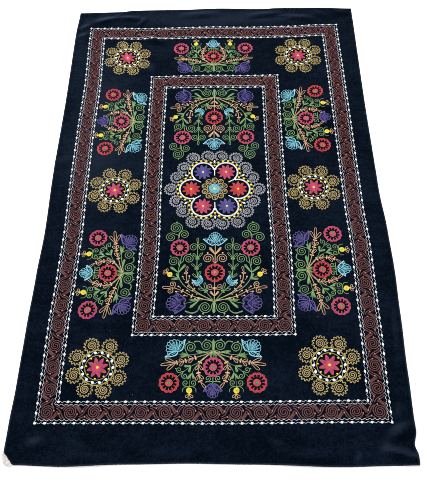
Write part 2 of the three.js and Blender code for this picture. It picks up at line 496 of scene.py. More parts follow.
class NodeSheet:
    """Short hand for filling one node tree."""

    def __init__(self, tree: NodeTree) -> None:
        """Empties the tree that the nodes go into."""
        self.tree = tree
        tree.nodes.clear()

    def add(self, kind: str, inputs: dict[str, object] | None = None, **settings: object) -> bpy.types.Node:
        """Adds a node, sets its options, and sets or links its inputs.

        Args:
            kind: Blender's name for the node's type.
            inputs: Values, or sockets to link from, by input name.
            **settings: The node's own options.

        Returns:
            The node.
        """
        node = self.tree.nodes.new(kind)
        for name, value in settings.items():
            setattr(node, name, value)
        for name, value in (inputs or {}).items():
            self.feed(value, node.inputs[name])
        return node

    def feed(self, value: object, target: Socket) -> None:
        """Links a socket to an input, or sets the input's own value.

        Args:
            value: A socket or a plain value.
            target: The input.
        """
        if isinstance(value, Socket):
            self.tree.links.new(value, target)
        else:
            target.default_value = value

    def place(self) -> Socket:
        """Adds the object's own coordinates, in metres."""
        return self.add("ShaderNodeTexCoord").outputs["Object"]

    def math(self, operation: str, *values: object) -> Socket:
        """Adds a Math node and gives its result.

        Args:
            operation: The operation's name.
            *values: Numbers or sockets, in order.

        Returns:
            The output socket.
        """
        node = self.tree.nodes.new("ShaderNodeMath")
        node.operation = operation
        for value, target in zip(values, node.inputs):
            self.feed(value, target)
        return node.outputs[0]

    def noise(self, coordinates: Socket, scale: float, detail: float = 2.0) -> Socket:
        """Adds a noise texture and gives its value, about 0.5 on average."""
        inputs = {"Vector": coordinates, "Scale": scale, "Detail": detail}
        return self.add("ShaderNodeTexNoise", inputs).outputs["Fac"]

    def span(self, value: object, low: float, high: float, to: Pair = (0.0, 1.0)) -> Socket:
        """Adds a Map Range node that eases one span of values into another, held at both ends."""
        inputs = {"Value": value, "From Min": low, "From Max": high, "To Min": to[0], "To Max": to[1]}
        return self.add("ShaderNodeMapRange", inputs, interpolation_type="SMOOTHSTEP").outputs["Result"]

    def mix(self, share: object, first: object, second: object) -> Socket:
        """Adds a colour mix and gives its colour.

        Args:
            share: The second colour's share.
            first: First colour.
            second: Second colour.

        Returns:
            The output socket.
        """
        node = self.add("ShaderNodeMix", data_type="RGBA")
        for value, number in ((share, 0), (first, 6), (second, 7)):
            self.feed(value, node.inputs[number])
        return node.outputs[2]


class NodeGroups:
    """The shader node groups that several finishes share, each built once."""

    chevron_lead = 0.9
    strand_span = (-1.0, 0.7)
    strand_shade_weight = 0.55
    tone_weight = 0.35
    tone_middle = 0.35
    wear_scale = 42
    wear_weight = 0.7
    fibre_scale = 2600
    fibre_weight = 0.25
    stitch_roughness = (0.8, 0.62)
    slub_scale = 90
    slub_weight = 0.9
    weave_shade_weight = 0.35
    weave_span = (0.2, 0.95)

    def __init__(self) -> None:
        """Builds the groups."""
        self.chain_stitch = self._chain_stitch()
        self.plain_weave = self._plain_weave()

    @staticmethod
    def _start(
        name: str, inputs: dict[str, str], outputs: dict[str, str]
    ) -> tuple[NodeSheet, bpy.types.Node]:
        """Makes an empty group with named sockets.

        Args:
            name: The group's name.
            inputs: Socket kinds by input name.
            outputs: Socket kinds by output name.

        Returns:
            The group's sheet and its input node.
        """
        tree = bpy.data.node_groups.new(name, "ShaderNodeTree")
        for way, sockets in (("INPUT", inputs), ("OUTPUT", outputs)):
            for label, kind in sockets.items():
                tree.interface.new_socket(name=label, in_out=way, socket_type=f"NodeSocket{kind}")
        sheet = NodeSheet(tree)
        return sheet, sheet.add("NodeGroupInput")

    def _chain_stitch(self) -> NodeTree:
        """Builds the look of chain stitch: two strands lean together in each stitch, with painted highlight
        on them and painted shade between them and between stitches.

        The stitch attribute holds the place along a row in stitches, the place across it from 0 to 1, and the
        row's own tone. The chevron is a sine of the place along, led by the distance from the row's middle.

        Returns:
            The node group.
        """
        sheet, given = self._start(
            "Chain stitch",
            {"Light": "Color", "Dark and shade": "Color"},
            {"Color": "Color", "Roughness": "Float", "Height": "Float"},
        )
        stitch = sheet.add("ShaderNodeAttribute", attribute_name="stitch").outputs["Vector"]
        parts = sheet.add("ShaderNodeSeparateXYZ", {"Vector": stitch}).outputs
        from_middle = sheet.math("ABSOLUTE", sheet.math("SUBTRACT", parts["Y"], 0.5))
        phase = sheet.math("MULTIPLY_ADD", from_middle, self.chevron_lead, parts["X"])
        chevron = sheet.math("SINE", sheet.math("MULTIPLY", phase, 2 * math.pi))
        strand = sheet.span(chevron, *self.strand_span)
        place = sheet.place()
        worn = sheet.math("SUBTRACT", sheet.noise(place, self.wear_scale), 0.5)
        worn_tone = sheet.math("MULTIPLY", worn, self.wear_weight)
        tone = sheet.math("ADD", sheet.math("MULTIPLY", parts["Z"], self.tone_weight), worn_tone)
        middle_tone = sheet.math("ADD", tone, self.tone_middle)
        # Painted light: the strands' crowns take the lit colour and the grooves the shaded one; the row's
        # tone and the wear noise shift it as well.
        share = sheet.math("ADD", sheet.math("MULTIPLY", strand, self.strand_shade_weight), middle_tone)
        colour = sheet.mix(sheet.span(share, 0, 1), given.outputs["Dark and shade"], given.outputs["Light"])
        fibre = sheet.noise(place, self.fibre_scale, 1)
        height = sheet.math("MULTIPLY_ADD", fibre, self.fibre_weight, strand)
        roughness = sheet.span(strand, 0, 1, self.stitch_roughness)
        sheet.add("NodeGroupOutput", {"Color": colour, "Roughness": roughness, "Height": height})
        return sheet.tree

    def _plain_weave(self) -> NodeTree:
        """Builds a plain weave: two crossed sets of sine-shaped threads, painted lighter where they rise as
        highlight and darker where they dip as shade, with slubs from noise.

        Returns:
            The node group.
        """
        sheet, given = self._start(
            "Plain weave",
            {"Threads per metre": "Float", "Light": "Color", "Dark and shade": "Color"},
            {"Color": "Color", "Height": "Float"},
        )
        place = sheet.place()
        parts = sheet.add("ShaderNodeSeparateXYZ", {"Vector": place}).outputs
        waves = []
        for axis in ("X", "Y"):
            turns = sheet.math("MULTIPLY", parts[axis], given.outputs["Threads per metre"])
            waves.append(sheet.math("SINE", sheet.math("MULTIPLY", turns, 2 * math.pi)))
        crossing = sheet.math("MULTIPLY", *waves)
        height = sheet.span(crossing, -1, 1)
        slub = sheet.math("MULTIPLY", sheet.noise(place, self.slub_scale, 4), self.slub_weight)
        # Painted light: where the threads rise they take the light colour as highlight, where they dip the
        # dark one as shade; slubs vary it.
        share = sheet.math("MULTIPLY_ADD", height, self.weave_shade_weight, slub)
        lit = sheet.span(share, *self.weave_span)
        colour = sheet.mix(lit, given.outputs["Dark and shade"], given.outputs["Light"])
        sheet.add("NodeGroupOutput", {"Color": colour, "Height": height})
        return sheet.tree


def start_material(name: str) -> tuple[Material, NodeSheet]:
    """Makes an empty node material and its sheet.

    Args:
        name: The material's name.

    Returns:
        The material and its sheet.
    """
    material = bpy.data.materials.new(name)
    material.use_nodes = True
    return material, NodeSheet(material.node_tree)


def finish_material(sheet: NodeSheet, inputs: dict[str, object], height: object, depth: float) -> None:
    """Ends a material in a Principled shader with a bump.

    Args:
        sheet: The material's sheet.
        inputs: The shader's values and links by input name.
        height: Socket of the bump's height.
        depth: How deep the bump is, in metres.
    """
    bump = sheet.add("ShaderNodeBump", {"Strength": 1.0, "Distance": depth, "Height": height})
    shader = sheet.add("ShaderNodeBsdfPrincipled", {**inputs, "Normal": bump.outputs["Normal"]})
    sheet.add("ShaderNodeOutputMaterial", {"Surface": shader.outputs["BSDF"]})


@dataclass(frozen=True)
class ThreadFinish:
    """A dyed thread: its colour where lit, and a shaded copy painted in the grooves between strands and
    stitches; lighter rows lean to the first, darker rows to the second.
    """

    light: Colour
    dark: Colour
    specular: float = 0.3
    sheen: float = 0.25
    sheen_roughness: float = 0.4
    stitch_depth: float = 0.35

    def material(self, name: str, groups: NodeGroups) -> Material:
        """Makes the thread's material.

        Args:
            name: The material's name.
            groups: The shared node groups.

        Returns:
            The material.
        """
        material, sheet = start_material(name)
        dyes = {"Light": linear_colour(self.light), "Dark and shade": linear_colour(self.dark)}
        stitch = sheet.add("ShaderNodeGroup", dyes, node_tree=groups.chain_stitch)
        look = {
            "Base Color": stitch.outputs["Color"],
            "Roughness": stitch.outputs["Roughness"],
            "Specular IOR Level": self.specular,
            "Sheen Weight": self.sheen,
            "Sheen Roughness": self.sheen_roughness,
        }
        finish_material(sheet, look, stitch.outputs["Height"], self.stitch_depth * MM)
        return material


@dataclass(frozen=True)
class VelvetFinish:
    """Cut pile: blue-black, brushed lighter in patches and painted with light and shade, lighter on slopes
    that face the key lamp, with a painted highlight and some wear along the hem, and a little lint.

    Each noise is given by its scale, its detail and, where it is one of a sum, its weight.
    """

    deep: Colour = (0, 5, 14)
    brushed: Colour = (10, 20, 34)
    # raised is the pile's painted highlight, mixed in where the nap attribute is high: on slopes that face
    # the key lamp and in the brushed-up and painted patches.
    raised: Colour = (44, 54, 70)
    # worn is a painted highlight of the hem's turned edge, mixed with rubbed wear.
    worn: Colour = (52, 60, 74)
    lint: Colour = (98, 101, 108)
    stretch: Point = (0.8, 1.5, 1.0)
    broad: Point = (3.2, 3, 0.6)
    narrow: Point = (17, 4, 0.4)
    fine: Point = (70, 3, 0.42)
    grain: Point = (240, 3, 0.9)
    nap_and_light_weight: float = 0.35
    brushing_and_light_span: Pair = (0.98, 1.46)
    highlight_span: Pair = (0.1, 1.0)
    highlight_share: float = 0.8
    hem_highlight_reach: float = 7.0
    hem_highlight_share: float = 0.75
    hem_highlight_noise: Pair = (55, 3)
    lint_scale: float = 21.0
    lint_span: Pair = (0.015, 0.034)
    lint_share: float = 0.22
    tufts: Point = (1500, 2, 0.8)
    clump_weight: float = 2.5
    pile_depth: float = 0.5
    roughness: Pair = (0.95, 0.8)
    specular: float = 0.03
    sheen: float = 0.1
    sheen_roughness: float = 0.35
    sheen_tint: Colour = (110, 140, 180)

    def material(self) -> Material:
        """Makes the material of the pile.

        Four sizes of noise brush the pile, the two largest stretched across the cloth as a hand would brush
        it, on top of the nap attribute, which holds painted light on the slopes of its folds and creases and
        the drape's brushed patches with their painted sheen and shadow. The edge attribute, the distance from
        the cloth's edge in millimetres, lays a painted highlight with some wear along the hem. Lint lies in a
        few Voronoi cells.

        Returns:
            The material.
        """
        material, sheet = start_material("Velvet pile")
        place = sheet.place()
        stretched = sheet.add("ShaderNodeMapping", {"Vector": place, "Scale": self.stretch})
        stroked = stretched.outputs["Vector"]
        narrow = sheet.noise(stroked, *self.narrow[:2])
        strokes_and_painted_light = sheet.math("MULTIPLY", sheet.noise(stroked, *self.broad[:2]), self.broad[2])
        strokes_and_painted_light = sheet.math("MULTIPLY_ADD", narrow, self.narrow[2], strokes_and_painted_light)
        for scale, detail, weight in (self.fine, self.grain):
            strokes_and_painted_light = sheet.math("MULTIPLY_ADD", sheet.noise(place, scale, detail), weight, strokes_and_painted_light)
        # The nap attribute brings painted light: lighter on slopes that face the key lamp, with painted sheen
        # and shadow in patches.
        nap_and_painted_light = sheet.add("ShaderNodeAttribute", attribute_name="nap_and_painted_light").outputs["Fac"]
        strokes_and_painted_light = sheet.math("MULTIPLY_ADD", nap_and_painted_light, self.nap_and_light_weight, strokes_and_painted_light)
        # Painted light rides in this share with the brushed patches: the nap attribute's lighter slopes,
        # painted sheen and shadow.
        brushing_and_painted_light = sheet.span(strokes_and_painted_light, *self.brushing_and_light_span)
        colour = sheet.mix(brushing_and_painted_light, linear_colour(self.deep), linear_colour(self.brushed))
        # Painted highlight: the raised colour where the face slopes towards the key lamp and in the lighter
        # patches.
        painted_highlight = sheet.span(nap_and_painted_light, *self.highlight_span, (0.0, self.highlight_share))
        colour = sheet.mix(painted_highlight, colour, linear_colour(self.raised))
        edge = sheet.add("ShaderNodeAttribute", attribute_name="edge").outputs["Fac"]
        # Along the hem a painted highlight of its turned edge, with rubbed wear: the worn colour in noisy
        # patches within a few millimetres of the edge.
        near_edge = sheet.span(edge, 0, self.hem_highlight_reach, (self.hem_highlight_share, 0.0))
        highlit_and_rubbed = sheet.math("MULTIPLY", near_edge, sheet.noise(place, *self.hem_highlight_noise))
        colour = sheet.mix(highlit_and_rubbed, colour, linear_colour(self.worn))
        cells = sheet.add("ShaderNodeTexVoronoi", {"Vector": place, "Scale": self.lint_scale})
        dice = sheet.add("ShaderNodeSeparateColor", {"Color": cells.outputs["Color"]}).outputs[0]
        chosen = sheet.math("LESS_THAN", dice, self.lint_share)
        near_middle = sheet.span(cells.outputs["Distance"], *self.lint_span, (1.0, 0.0))
        speck = sheet.math("MULTIPLY", near_middle, chosen)
        colour = sheet.mix(speck, colour, linear_colour(self.lint))
        clumps = sheet.math("MULTIPLY", narrow, self.clump_weight)
        pile = sheet.math("MULTIPLY_ADD", sheet.noise(place, *self.tufts[:2]), self.tufts[2], clumps)
        look = {
            "Base Color": colour,
            "Roughness": sheet.span(brushing_and_painted_light, 0, 1, self.roughness),
            "Specular IOR Level": self.specular,
            "Sheen Weight": self.sheen,
            "Sheen Roughness": self.sheen_roughness,
            "Sheen Tint": linear_colour(self.sheen_tint),
        }
        finish_material(sheet, look, pile, self.pile_depth * MM)
        return material


@dataclass(frozen=True)
class WovenFinish:
    """A plain-woven cloth of one fibre, such as the velvet's back or the corner tab: its light colour is
    painted where the threads rise, as highlight, and its dark colour where they dip, as shade.
    """

    name: str
    light: Colour
    dark: Colour
    stain: Colour
    threads_per_metre: float
    depth: float = 0.15
    stain_noise: Pair = (48, 3)
    stain_span: Pair = (0.45, 0.68)
    stain_share: float = 0.8
    roughness: Pair = (0.95, 0.85)
    specular: float = 0.2

    def material(self, groups: NodeGroups) -> Material:
        """Makes the material: the shared weave, stained where a broad noise is high.

        Args:
            groups: The shared node groups.

        Returns:
            The material.
        """
        material, sheet = start_material(self.name)
        dyes = {"Light": linear_colour(self.light), "Dark and shade": linear_colour(self.dark)}
        given = {"Threads per metre": self.threads_per_metre, **dyes}
        weave = sheet.add("ShaderNodeGroup", given, node_tree=groups.plain_weave)
        place = sheet.place()
        noise = sheet.noise(place, *self.stain_noise)
        patches = sheet.span(noise, *self.stain_span, (0.0, self.stain_share))
        colour = sheet.mix(patches, weave.outputs["Color"], linear_colour(self.stain))
        look = {
            "Base Color": colour,
            "Roughness": sheet.span(weave.outputs["Height"], 0, 1, self.roughness),
            "Specular IOR Level": self.specular,
        }
        finish_material(sheet, look, weave.outputs["Height"], self.depth * MM)
        return material


# The cloth and its corner tab


@dataclass(frozen=True)
class VelvetCloth:
    """The ground cloth: one sheet with a turned hem, its pile on top and its woven back below."""

    drape: Drape
    hem_width: float = 9.0
    hem_slope: float = 4.0
    hem_extra: float = 0.8
    rim_bulge: float = 0.9
    columns: int = 160
    rows: int = 250
    flat_size: Pair = (1366.0, 2150.0)
    pile: VelvetFinish = VelvetFinish()
    # The back's light and dark are its lit and shaded thread colours.
    back: WovenFinish = WovenFinish(
        "Velvet back", light=(30, 34, 42), dark=(16, 19, 26), stain=(22, 26, 34), threads_per_metre=900
    )

    def grid_shares(self, length: float, steps: int) -> tuple[np.ndarray, np.ndarray]:
        """Places the grid lines: close together over the hem at both ends, and even between.

        Args:
            length: The cloth's size along the lines.
            steps: Lines in the even stretch.

        Returns:
            The lines' shares of the length, and their distances from the nearer edge.
        """
        hem = np.array([0, self.hem_width / 2, self.hem_width])
        inner = self.hem_width + self.hem_slope
        even = np.linspace(inner, length - inner, steps)
        lines = np.concatenate([hem, even, length - hem[::-1]])
        return lines / length, np.minimum(lines, length - lines)

    def build(self, groups: NodeGroups) -> Piece:
        """Makes the cloth: a grid spread over the outline, its top raised by one more layer on the hem.

        Args:
            groups: The shared node groups.

        Returns:
            The cloth, riding and standing for its CAD node.
        """
        width, length = self.flat_size
        across, from_side = self.grid_shares(width, self.columns)
        along, from_end = self.grid_shares(length, self.rows)
        flat = self.drape.spread(across, along)
        x, y = flat[..., 0], flat[..., 1]
        edge = np.minimum(*np.meshgrid(from_side, from_end))
        hemmed = np.clip((self.hem_width + self.hem_slope - edge) / self.hem_slope, 0, 1)
        upper = self.drape.surface(x, y) + self.hem_extra * hemmed
        lower = self.drape.lift(x, y)
        points = closed_sheet(flat, upper, lower, self.rim_bulge) * MM
        faces = sheet_faces(len(across), len(along))
        numbers = np.concatenate([np.full(len(block), index == 1) for index, block in enumerate(faces)])
        materials = [self.pile.material(), self.back.material(groups)]
        cloth = make_object("velvet_sheet", points, faces, materials, numbers)
        ring = np.zeros(len(points) - 2 * edge.size)
        add_attribute(cloth, "edge", np.concatenate([edge.ravel(), edge.ravel(), ring]))
        # Painted light for the pile: lighter on slopes facing the key lamp, plus the drape's brushed patches
        # and painted sheen and shadow.
        nap_and_painted_light = self.drape.nap_and_painted_light(x, y).ravel()
        add_attribute(cloth, "nap_and_painted_light", np.concatenate([nap_and_painted_light, nap_and_painted_light, ring]))
        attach(cloth, BODY)
        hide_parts("velvet_cloth")
        return cloth


@dataclass(frozen=True)
class CornerTab:
    """The scrap of pale cotton under the cut corner: places along the cut, and how far out it reaches."""

    upper_end: Pair = (-692, -1039)
    lower_end: Pair = (-655, -1081)
    tucked: float = 9.0
    thickness: float = 1.0
    outer_edge: Table = ((-1, -1), (1, 5), (8, 15), (35, 21), (53, 14), (55, 6))
    crumple: float = 1.6
    crease_length: float = 17.0
    crease_drift: float = 5.0
    cross_crease: Pair = (9.0, 7.0)
    fade: float = 12.0
    area_share: float = 0.8
    columns: int = 44
    rows: int = 24
    # The tab's light and dark are its lit and shaded thread colours; stain is its own.
    finish: WovenFinish = WovenFinish(
        "Pale cotton", light=(226, 221, 214), dark=(168, 160, 152), stain=(178, 158, 150),
        threads_per_metre=620, depth=0.3,
    )

    def build(self, groups: NodeGroups) -> Piece:
        """Makes the tab: a grid from its tucked edge to its outer edge, crumpled where it is out in the open.

        The crumple is a product of two waves, faded in from the cut outwards, so it clears the velvet.

        Args:
            groups: The shared node groups.

        Returns:
            The tab, riding and standing for its CAD node.
        """
        first, last = self.outer_edge[0][0], self.outer_edge[-1][0]
        along, share = np.meshgrid(np.linspace(first, last, self.columns), np.linspace(0, 1, self.rows))
        out = follow(self.outer_edge, along) * share - self.tucked * (1 - share)
        start, cut, inward = axis_of(self.upper_end, self.lower_end)
        flat = start + along[..., None] * cut / np.linalg.norm(cut) - out[..., None] * inward
        free = np.clip(out / self.fade, 0, 1)
        crease = np.sin(2 * math.pi * along / self.crease_length + out / self.crease_drift)
        wave = crease * np.cos(along / self.cross_crease[0] - out / self.cross_crease[1])
        lower = self.crumple * free * (0.5 + 0.5 * wave)
        upper = lower + self.thickness
        # The grid's rows run away from the cloth, so it is turned over to face up
        points = closed_sheet(flat[::-1], upper[::-1], lower[::-1], self.thickness / 4) * MM
        faces = sheet_faces(self.columns, self.rows)
        tab = make_object("cotton_corner", points, faces, [self.finish.material(groups)])
        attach(tab, BODY)
        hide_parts("corner_tab")
        return tab

    def flat_size(self) -> Pair:
        """Gives the tab's cut size, from its tucked edge to its outermost point."""
        width = self.outer_edge[-1][0] - self.outer_edge[0][0]
        return width * MM, (self.tucked + max(reach for _, reach in self.outer_edge)) * MM


# Stitching


class Thread(Enum):
    """The embroidery threads, by the names of their material slots."""

    WHITE = "white_thread"
    GREY = "grey_thread"
    RUST = "rust_thread"
    EMBER = "ember_thread"
    GOLD = "gold_thread"
    YELLOW = "yellow_thread"
    COPPER = "copper_thread"
    GREEN = "green_thread"
    RED = "red_thread"
    PINK = "pink_thread"
    SALMON = "salmon_thread"
    PURPLE = "purple_thread"
    TURQUOISE = "turquoise_thread"


# Each thread's lit colour, then its shaded copy, which paints shade between strands and stitches.
THREAD_FINISHES: dict[Thread, ThreadFinish] = {
    Thread.WHITE: ThreadFinish((246, 247, 248), (168, 172, 178)),
    Thread.GREY: ThreadFinish((168, 171, 178), (106, 108, 117)),
    Thread.RUST: ThreadFinish((117, 55, 47), (73, 31, 29)),
    Thread.EMBER: ThreadFinish((196, 120, 102), (148, 82, 72)),
    Thread.GOLD: ThreadFinish((197, 175, 110), (125, 105, 60)),
    Thread.YELLOW: ThreadFinish((238, 222, 60), (198, 178, 38)),
    Thread.COPPER: ThreadFinish((226, 184, 138), (134, 98, 73)),
    Thread.GREEN: ThreadFinish((126, 170, 101), (79, 108, 72)),
    Thread.RED: ThreadFinish((214, 57, 61), (149, 33, 43)),
    Thread.PINK: ThreadFinish((212, 73, 110), (148, 42, 78)),
    Thread.SALMON: ThreadFinish((220, 90, 100), (166, 54, 70)),
    Thread.PURPLE: ThreadFinish((91, 79, 158), (58, 49, 110)),
    Thread.TURQUOISE: ThreadFinish((137, 212, 228), (66, 134, 155)),
}


@dataclass(frozen=True)
class Spot:
    """Where a motif is worked: its root in millimetres, the way q points in degrees from +X, and its hand."""

    x: float
    y: float
    heading: float = 90.0
    mirrored: bool = False

    def place(self, drawing: np.ndarray) -> np.ndarray:
        """Turns drawn points into places on the cloth.

        They are mirrored in p if need be, turned, then moved to the root.

        Args:
            drawing: Points as rows of p and q.

        Returns:
            Places as rows of x and y.
        """
        p = -drawing[:, 0] if self.mirrored else drawing[:, 0]
        turn = math.radians(self.heading - 90)
        x = p * math.cos(turn) - drawing[:, 1] * math.sin(turn)
        y = p * math.sin(turn) + drawing[:, 1] * math.cos(turn)
        return np.column_stack([x + self.x, y + self.y])

    def at(self, p: float, q: float, heading: float = 90.0) -> Spot:
        """Gives the spot of a motif on this one.

        Args:
            p: Its root to the side.
            q: Its root outwards.
            heading: The way it points, in degrees from this motif's p.

        Returns:
            The new spot, with the same hand.
        """
        x, y = self.place(np.array([[p, q]], float))[0]
        bearing = 180 - heading if self.mirrored else heading
        return Spot(float(x), float(y), self.heading - 90 + bearing, self.mirrored)

    def mirror(self) -> Spot:
        """Gives the same spot with the other hand."""
        return replace(self, mirrored=not self.mirrored)

    def turned(self, angle: float) -> Spot:
        """Gives the same spot turned by an angle in degrees."""
        return replace(self, heading=self.heading + angle)


class Needlework:
    """Collects rows of chain stitch and satin beads, then makes one mesh of each thread."""

    stitch = 4.6
    pinch = 0.2
    crown_pinch = 0.12
    crown = (0.25, 0.36)
    sink = 0.2
    tone_spread = 0.3
    bead_tone = 0.5
    line_tone = -0.35
    fill_pitch = 2.4
    fill_widths = (2.9,)
    spokes = 8
    shoulder_height = 0.75
    bead_rise = (0.7, 0.2)
    highest_bead = 2.2

    def __init__(self, drape: Drape, seed: int = 11) -> None:
        """Starts with no stitches, on a cloth that lies as the drape says.

        Args:
            drape: How the cloth lies.
            seed: Starts the random draws.
        """
        self.drape = drape
        self.random = np.random.default_rng(seed)
        self.rows: dict[Thread, list[np.ndarray]] = {thread: [] for thread in Thread}
        self.beads: dict[Thread, list[np.ndarray]] = {thread: [] for thread in Thread}

    def row(
        self,
        spot: Spot,
        drawing: np.ndarray,
        thread: Thread,
        widths: Widths,
        raised: float = 0.0,
        tone: float = 0.0,
    ) -> None:
        """Works a row of chain stitch along a drawn line, two sections to a stitch.

        Args:
            spot: Where the motif is worked.
            drawing: Points of the line.
            thread: The thread used.
            widths: The row's width at evenly spaced places along it.
            raised: How far it rides on stitches below it.
            tone: How much lighter than others it is, from -1 to 1.
        """
        line = self.drape.wander(spot.place(drawing))
        run = np.concatenate([[0], np.cumsum(np.hypot(*np.diff(line, axis=0).T))])
        count = max(2, round(run[-1] / (self.stitch / 2))) + 1
        places = np.linspace(0, run[-1], count)
        path = np.column_stack([np.interp(places, run, line[:, 0]), np.interp(places, run, line[:, 1])])
        run_way = np.gradient(path, axis=0)
        run_way /= np.maximum(np.linalg.norm(run_way, axis=1, keepdims=True), 1e-9)
        width = np.interp(np.linspace(0, 1, count), np.linspace(0, 1, len(widths)), widths)
        shade = np.full(count, tone + self.random.uniform(-self.tone_spread, self.tone_spread))
        lifted = np.full(count, raised)
        number = np.arange(count)
        self.rows[thread].append(np.column_stack([path, run_way, width, number, shade, lifted]))

    def bead(self, spot: Spot, place: Pair, size: Pair, thread: Thread, heading: float = 0.0) -> None:
        """Works a domed satin bead.

        Args:
            spot: Where the motif is worked.
            place: The bead's middle.
            size: Its length and width.
            thread: The thread used.
            heading: The way its length runs, in degrees from p.
        """
        way = (math.cos(math.radians(heading)), math.sin(math.radians(heading)))
        ends = self.drape.wander(spot.place(np.array([place, (place[0] + way[0], place[1] + way[1])])))
        run_way = (ends[1] - ends[0]) / np.linalg.norm(ends[1] - ends[0])
        tone = self.bead_tone + self.random.uniform(-self.tone_spread, self.tone_spread)
        self.beads[thread].append(np.array([*ends[0], *run_way, *size, tone]))

    def row_arrays(self, rows: list[np.ndarray]) -> Arrays:
        """Carries a three-cornered section along every row at once: two edges in the pile and a crown above.

        Every other section is pinched, so that a row is a string of stitches. Both ends are capped.

        Args:
            rows: Sections as columns of place, direction, width, number, tone and raise.

        Returns:
            The points in millimetres, their stitch values, and the faces.
        """
        counts = np.array([len(row) for row in rows])
        x, y, way_x, way_y, width, number, tone, lifted = np.concatenate(rows).T
        between = number % 2
        half = width * (1 - self.pinch * between) / 2
        base, share = self.crown
        crown = (base + share * width) * (1 - self.crown_pinch * between) + lifted
        places = [(x - way_y * half, y + way_x * half), (x, y), (x + way_y * half, y - way_x * half)]
        heights = [lifted - self.sink, crown, lifted - self.sink]
        points, stitch = [], []
        for (px, py), rise, side in zip(places, heights, (0.0, 0.5, 1.0)):
            points.append(np.column_stack([px, py, self.drape.surface(px, py) + rise]))
            stitch.append(np.column_stack([number / 2, np.full(len(x), side), tone]))
        last = np.cumsum(counts) - 1
        first = last - counts + 1
        left = 3 * np.delete(np.arange(len(x)), last)
        ahead = left + 3
        faces = [
            np.stack([left + 1, ahead + 1, ahead, left], 1),
            np.stack([left + 2, ahead + 2, ahead + 1, left + 1], 1),
            np.stack([left, ahead, ahead + 2, left + 2], 1),
            np.stack([3 * first, 3 * first + 2, 3 * first + 1], 1),
            np.stack([3 * last, 3 * last + 1, 3 * last + 2], 1),
        ]
        return np.stack(points, 1).reshape(-1, 3), np.stack(stitch, 1).reshape(-1, 3), faces

    def bead_arrays(self, beads: list[np.ndarray]) -> Arrays:
        """Domes every bead at once: an apex, a shoulder ring at 45 degrees and a rim ring in the pile.

        Args:
            beads: Beads as rows of place, direction, size and tone.

        Returns:
            The points in millimetres, their stitch values, and the faces.
        """
        x, y, way_x, way_y, length, width, tone = np.array(beads).T[:, :, None]
        angle = np.arange(self.spokes) * 2 * math.pi / self.spokes
        ring = np.concatenate([[0], np.full(self.spokes, math.sqrt(0.5)), np.ones(self.spokes)])
        turn = np.concatenate([[0], angle, angle])
        along = length / 2 * ring * np.cos(turn)
        aside = width / 2 * ring * np.sin(turn)
        px = x + way_x * along - way_y * aside
        py = y + way_y * along + way_x * aside
        dome = np.concatenate([[1], np.full(self.spokes, self.shoulder_height), [0] * self.spokes])
        base_rise, share = self.bead_rise
        rise = np.minimum(base_rise + share * width, self.highest_bead) * dome - self.sink * (dome == 0)
        points = np.stack([px, py, self.drape.surface(px, py) + rise], -1)
        stitch = np.stack([along / 2, np.full_like(along, 0.5), np.broadcast_to(tone, along.shape)], -1)
        base = np.arange(len(beads))[:, None, None] * (2 * self.spokes + 1)
        inner = 1 + np.arange(self.spokes)
        inner_ahead = np.roll(inner, -1)
        fan = np.stack([np.zeros(self.spokes, int), inner, inner_ahead], 1)
        skirt = np.stack([inner, inner + self.spokes, inner_ahead + self.spokes, inner_ahead], 1)
        floor = (inner + self.spokes)[None, ::-1]
        faces = [(base + block).reshape(-1, block.shape[1]) for block in (fan, skirt, floor)]
        return points.reshape(-1, 3), stitch.reshape(-1, 3), faces

    def build(self, groups: NodeGroups) -> list[Piece]:
        """Makes one mesh of each thread's rows and beads.

        Args:
            groups: The shared node groups.

        Returns:
            The pieces, riding on the cloth's body.
        """
        pieces = []
        for thread in Thread:
            parts = []
            for worked, shape in ((self.rows, self.row_arrays), (self.beads, self.bead_arrays)):
                if worked[thread]:
                    parts.append(shape(worked[thread]))
            points, stitch, faces = zip(*parts)
            starts = np.cumsum([0, *map(len, points)])
            numbered = [block + start for start, blocks in zip(starts, faces) for block in blocks]
            material = THREAD_FINISHES[thread].material(thread.value, groups)
            piece = make_object(f"{thread.value}_work", np.vstack(points) * MM, numbered, [material])
            add_attribute(piece, "stitch", np.vstack(stitch))
            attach(piece, BODY)
            pieces.append(piece)
        return pieces


# Small motifs


class Motif(Protocol):
    """Anything that can be worked at a spot."""

    def draw(self, work: Needlework, spot: Spot) -> None:
        """Works the motif."""


class LeafShape(Enum):
    """How a filled leaf swells, by a power: a club is widest near its tip, and a lens in its middle."""

    CLUB = 0.7
    LENS = 0.8

    def swell(self, place: np.ndarray) -> np.ndarray:
        """Raises the place along a club, or a half wave along a lens, to the shape's power."""
        return (place if self is LeafShape.CLUB else np.sin(math.pi * place)) ** self.value


@dataclass(frozen=True)
class Stem:
    """A line of chain stitch through a few points, which may swell or taper."""

    knots: Table
    widths: Widths = (3.9,)
    thread: Thread = Thread.GREEN

    def draw(self, work: Needlework, spot: Spot) -> None:
        """Works the stem as one smooth row."""
        work.row(spot, smooth_path(self.knots), self.thread, self.widths, tone=work.line_tone)


@dataclass(frozen=True)
class Curl:
    """A spiral, led into from its stem: its centre, radius, the angle of its rim's end and its winding."""

    centre: Pair
    radius: float
    start: float
    winding: int
    lead: Table
    thread: Thread = Thread.GREEN
    pitch: float = 8.4
    widths: Widths = (3.8, 3.4)

    def draw(self, work: Needlework, spot: Spot) -> None:
        """Works the lead and the spiral as one row.

        Args:
            work: The needlework.
            spot: Where the motif is worked.
        """
        turns = spiral(self.centre, self.radius, self.start, self.winding, self.pitch)
        lead = smooth_path((*self.lead, tuple(turns[0])))
        work.row(spot, np.vstack([lead[:-1], turns]), self.thread, self.widths, tone=work.line_tone)


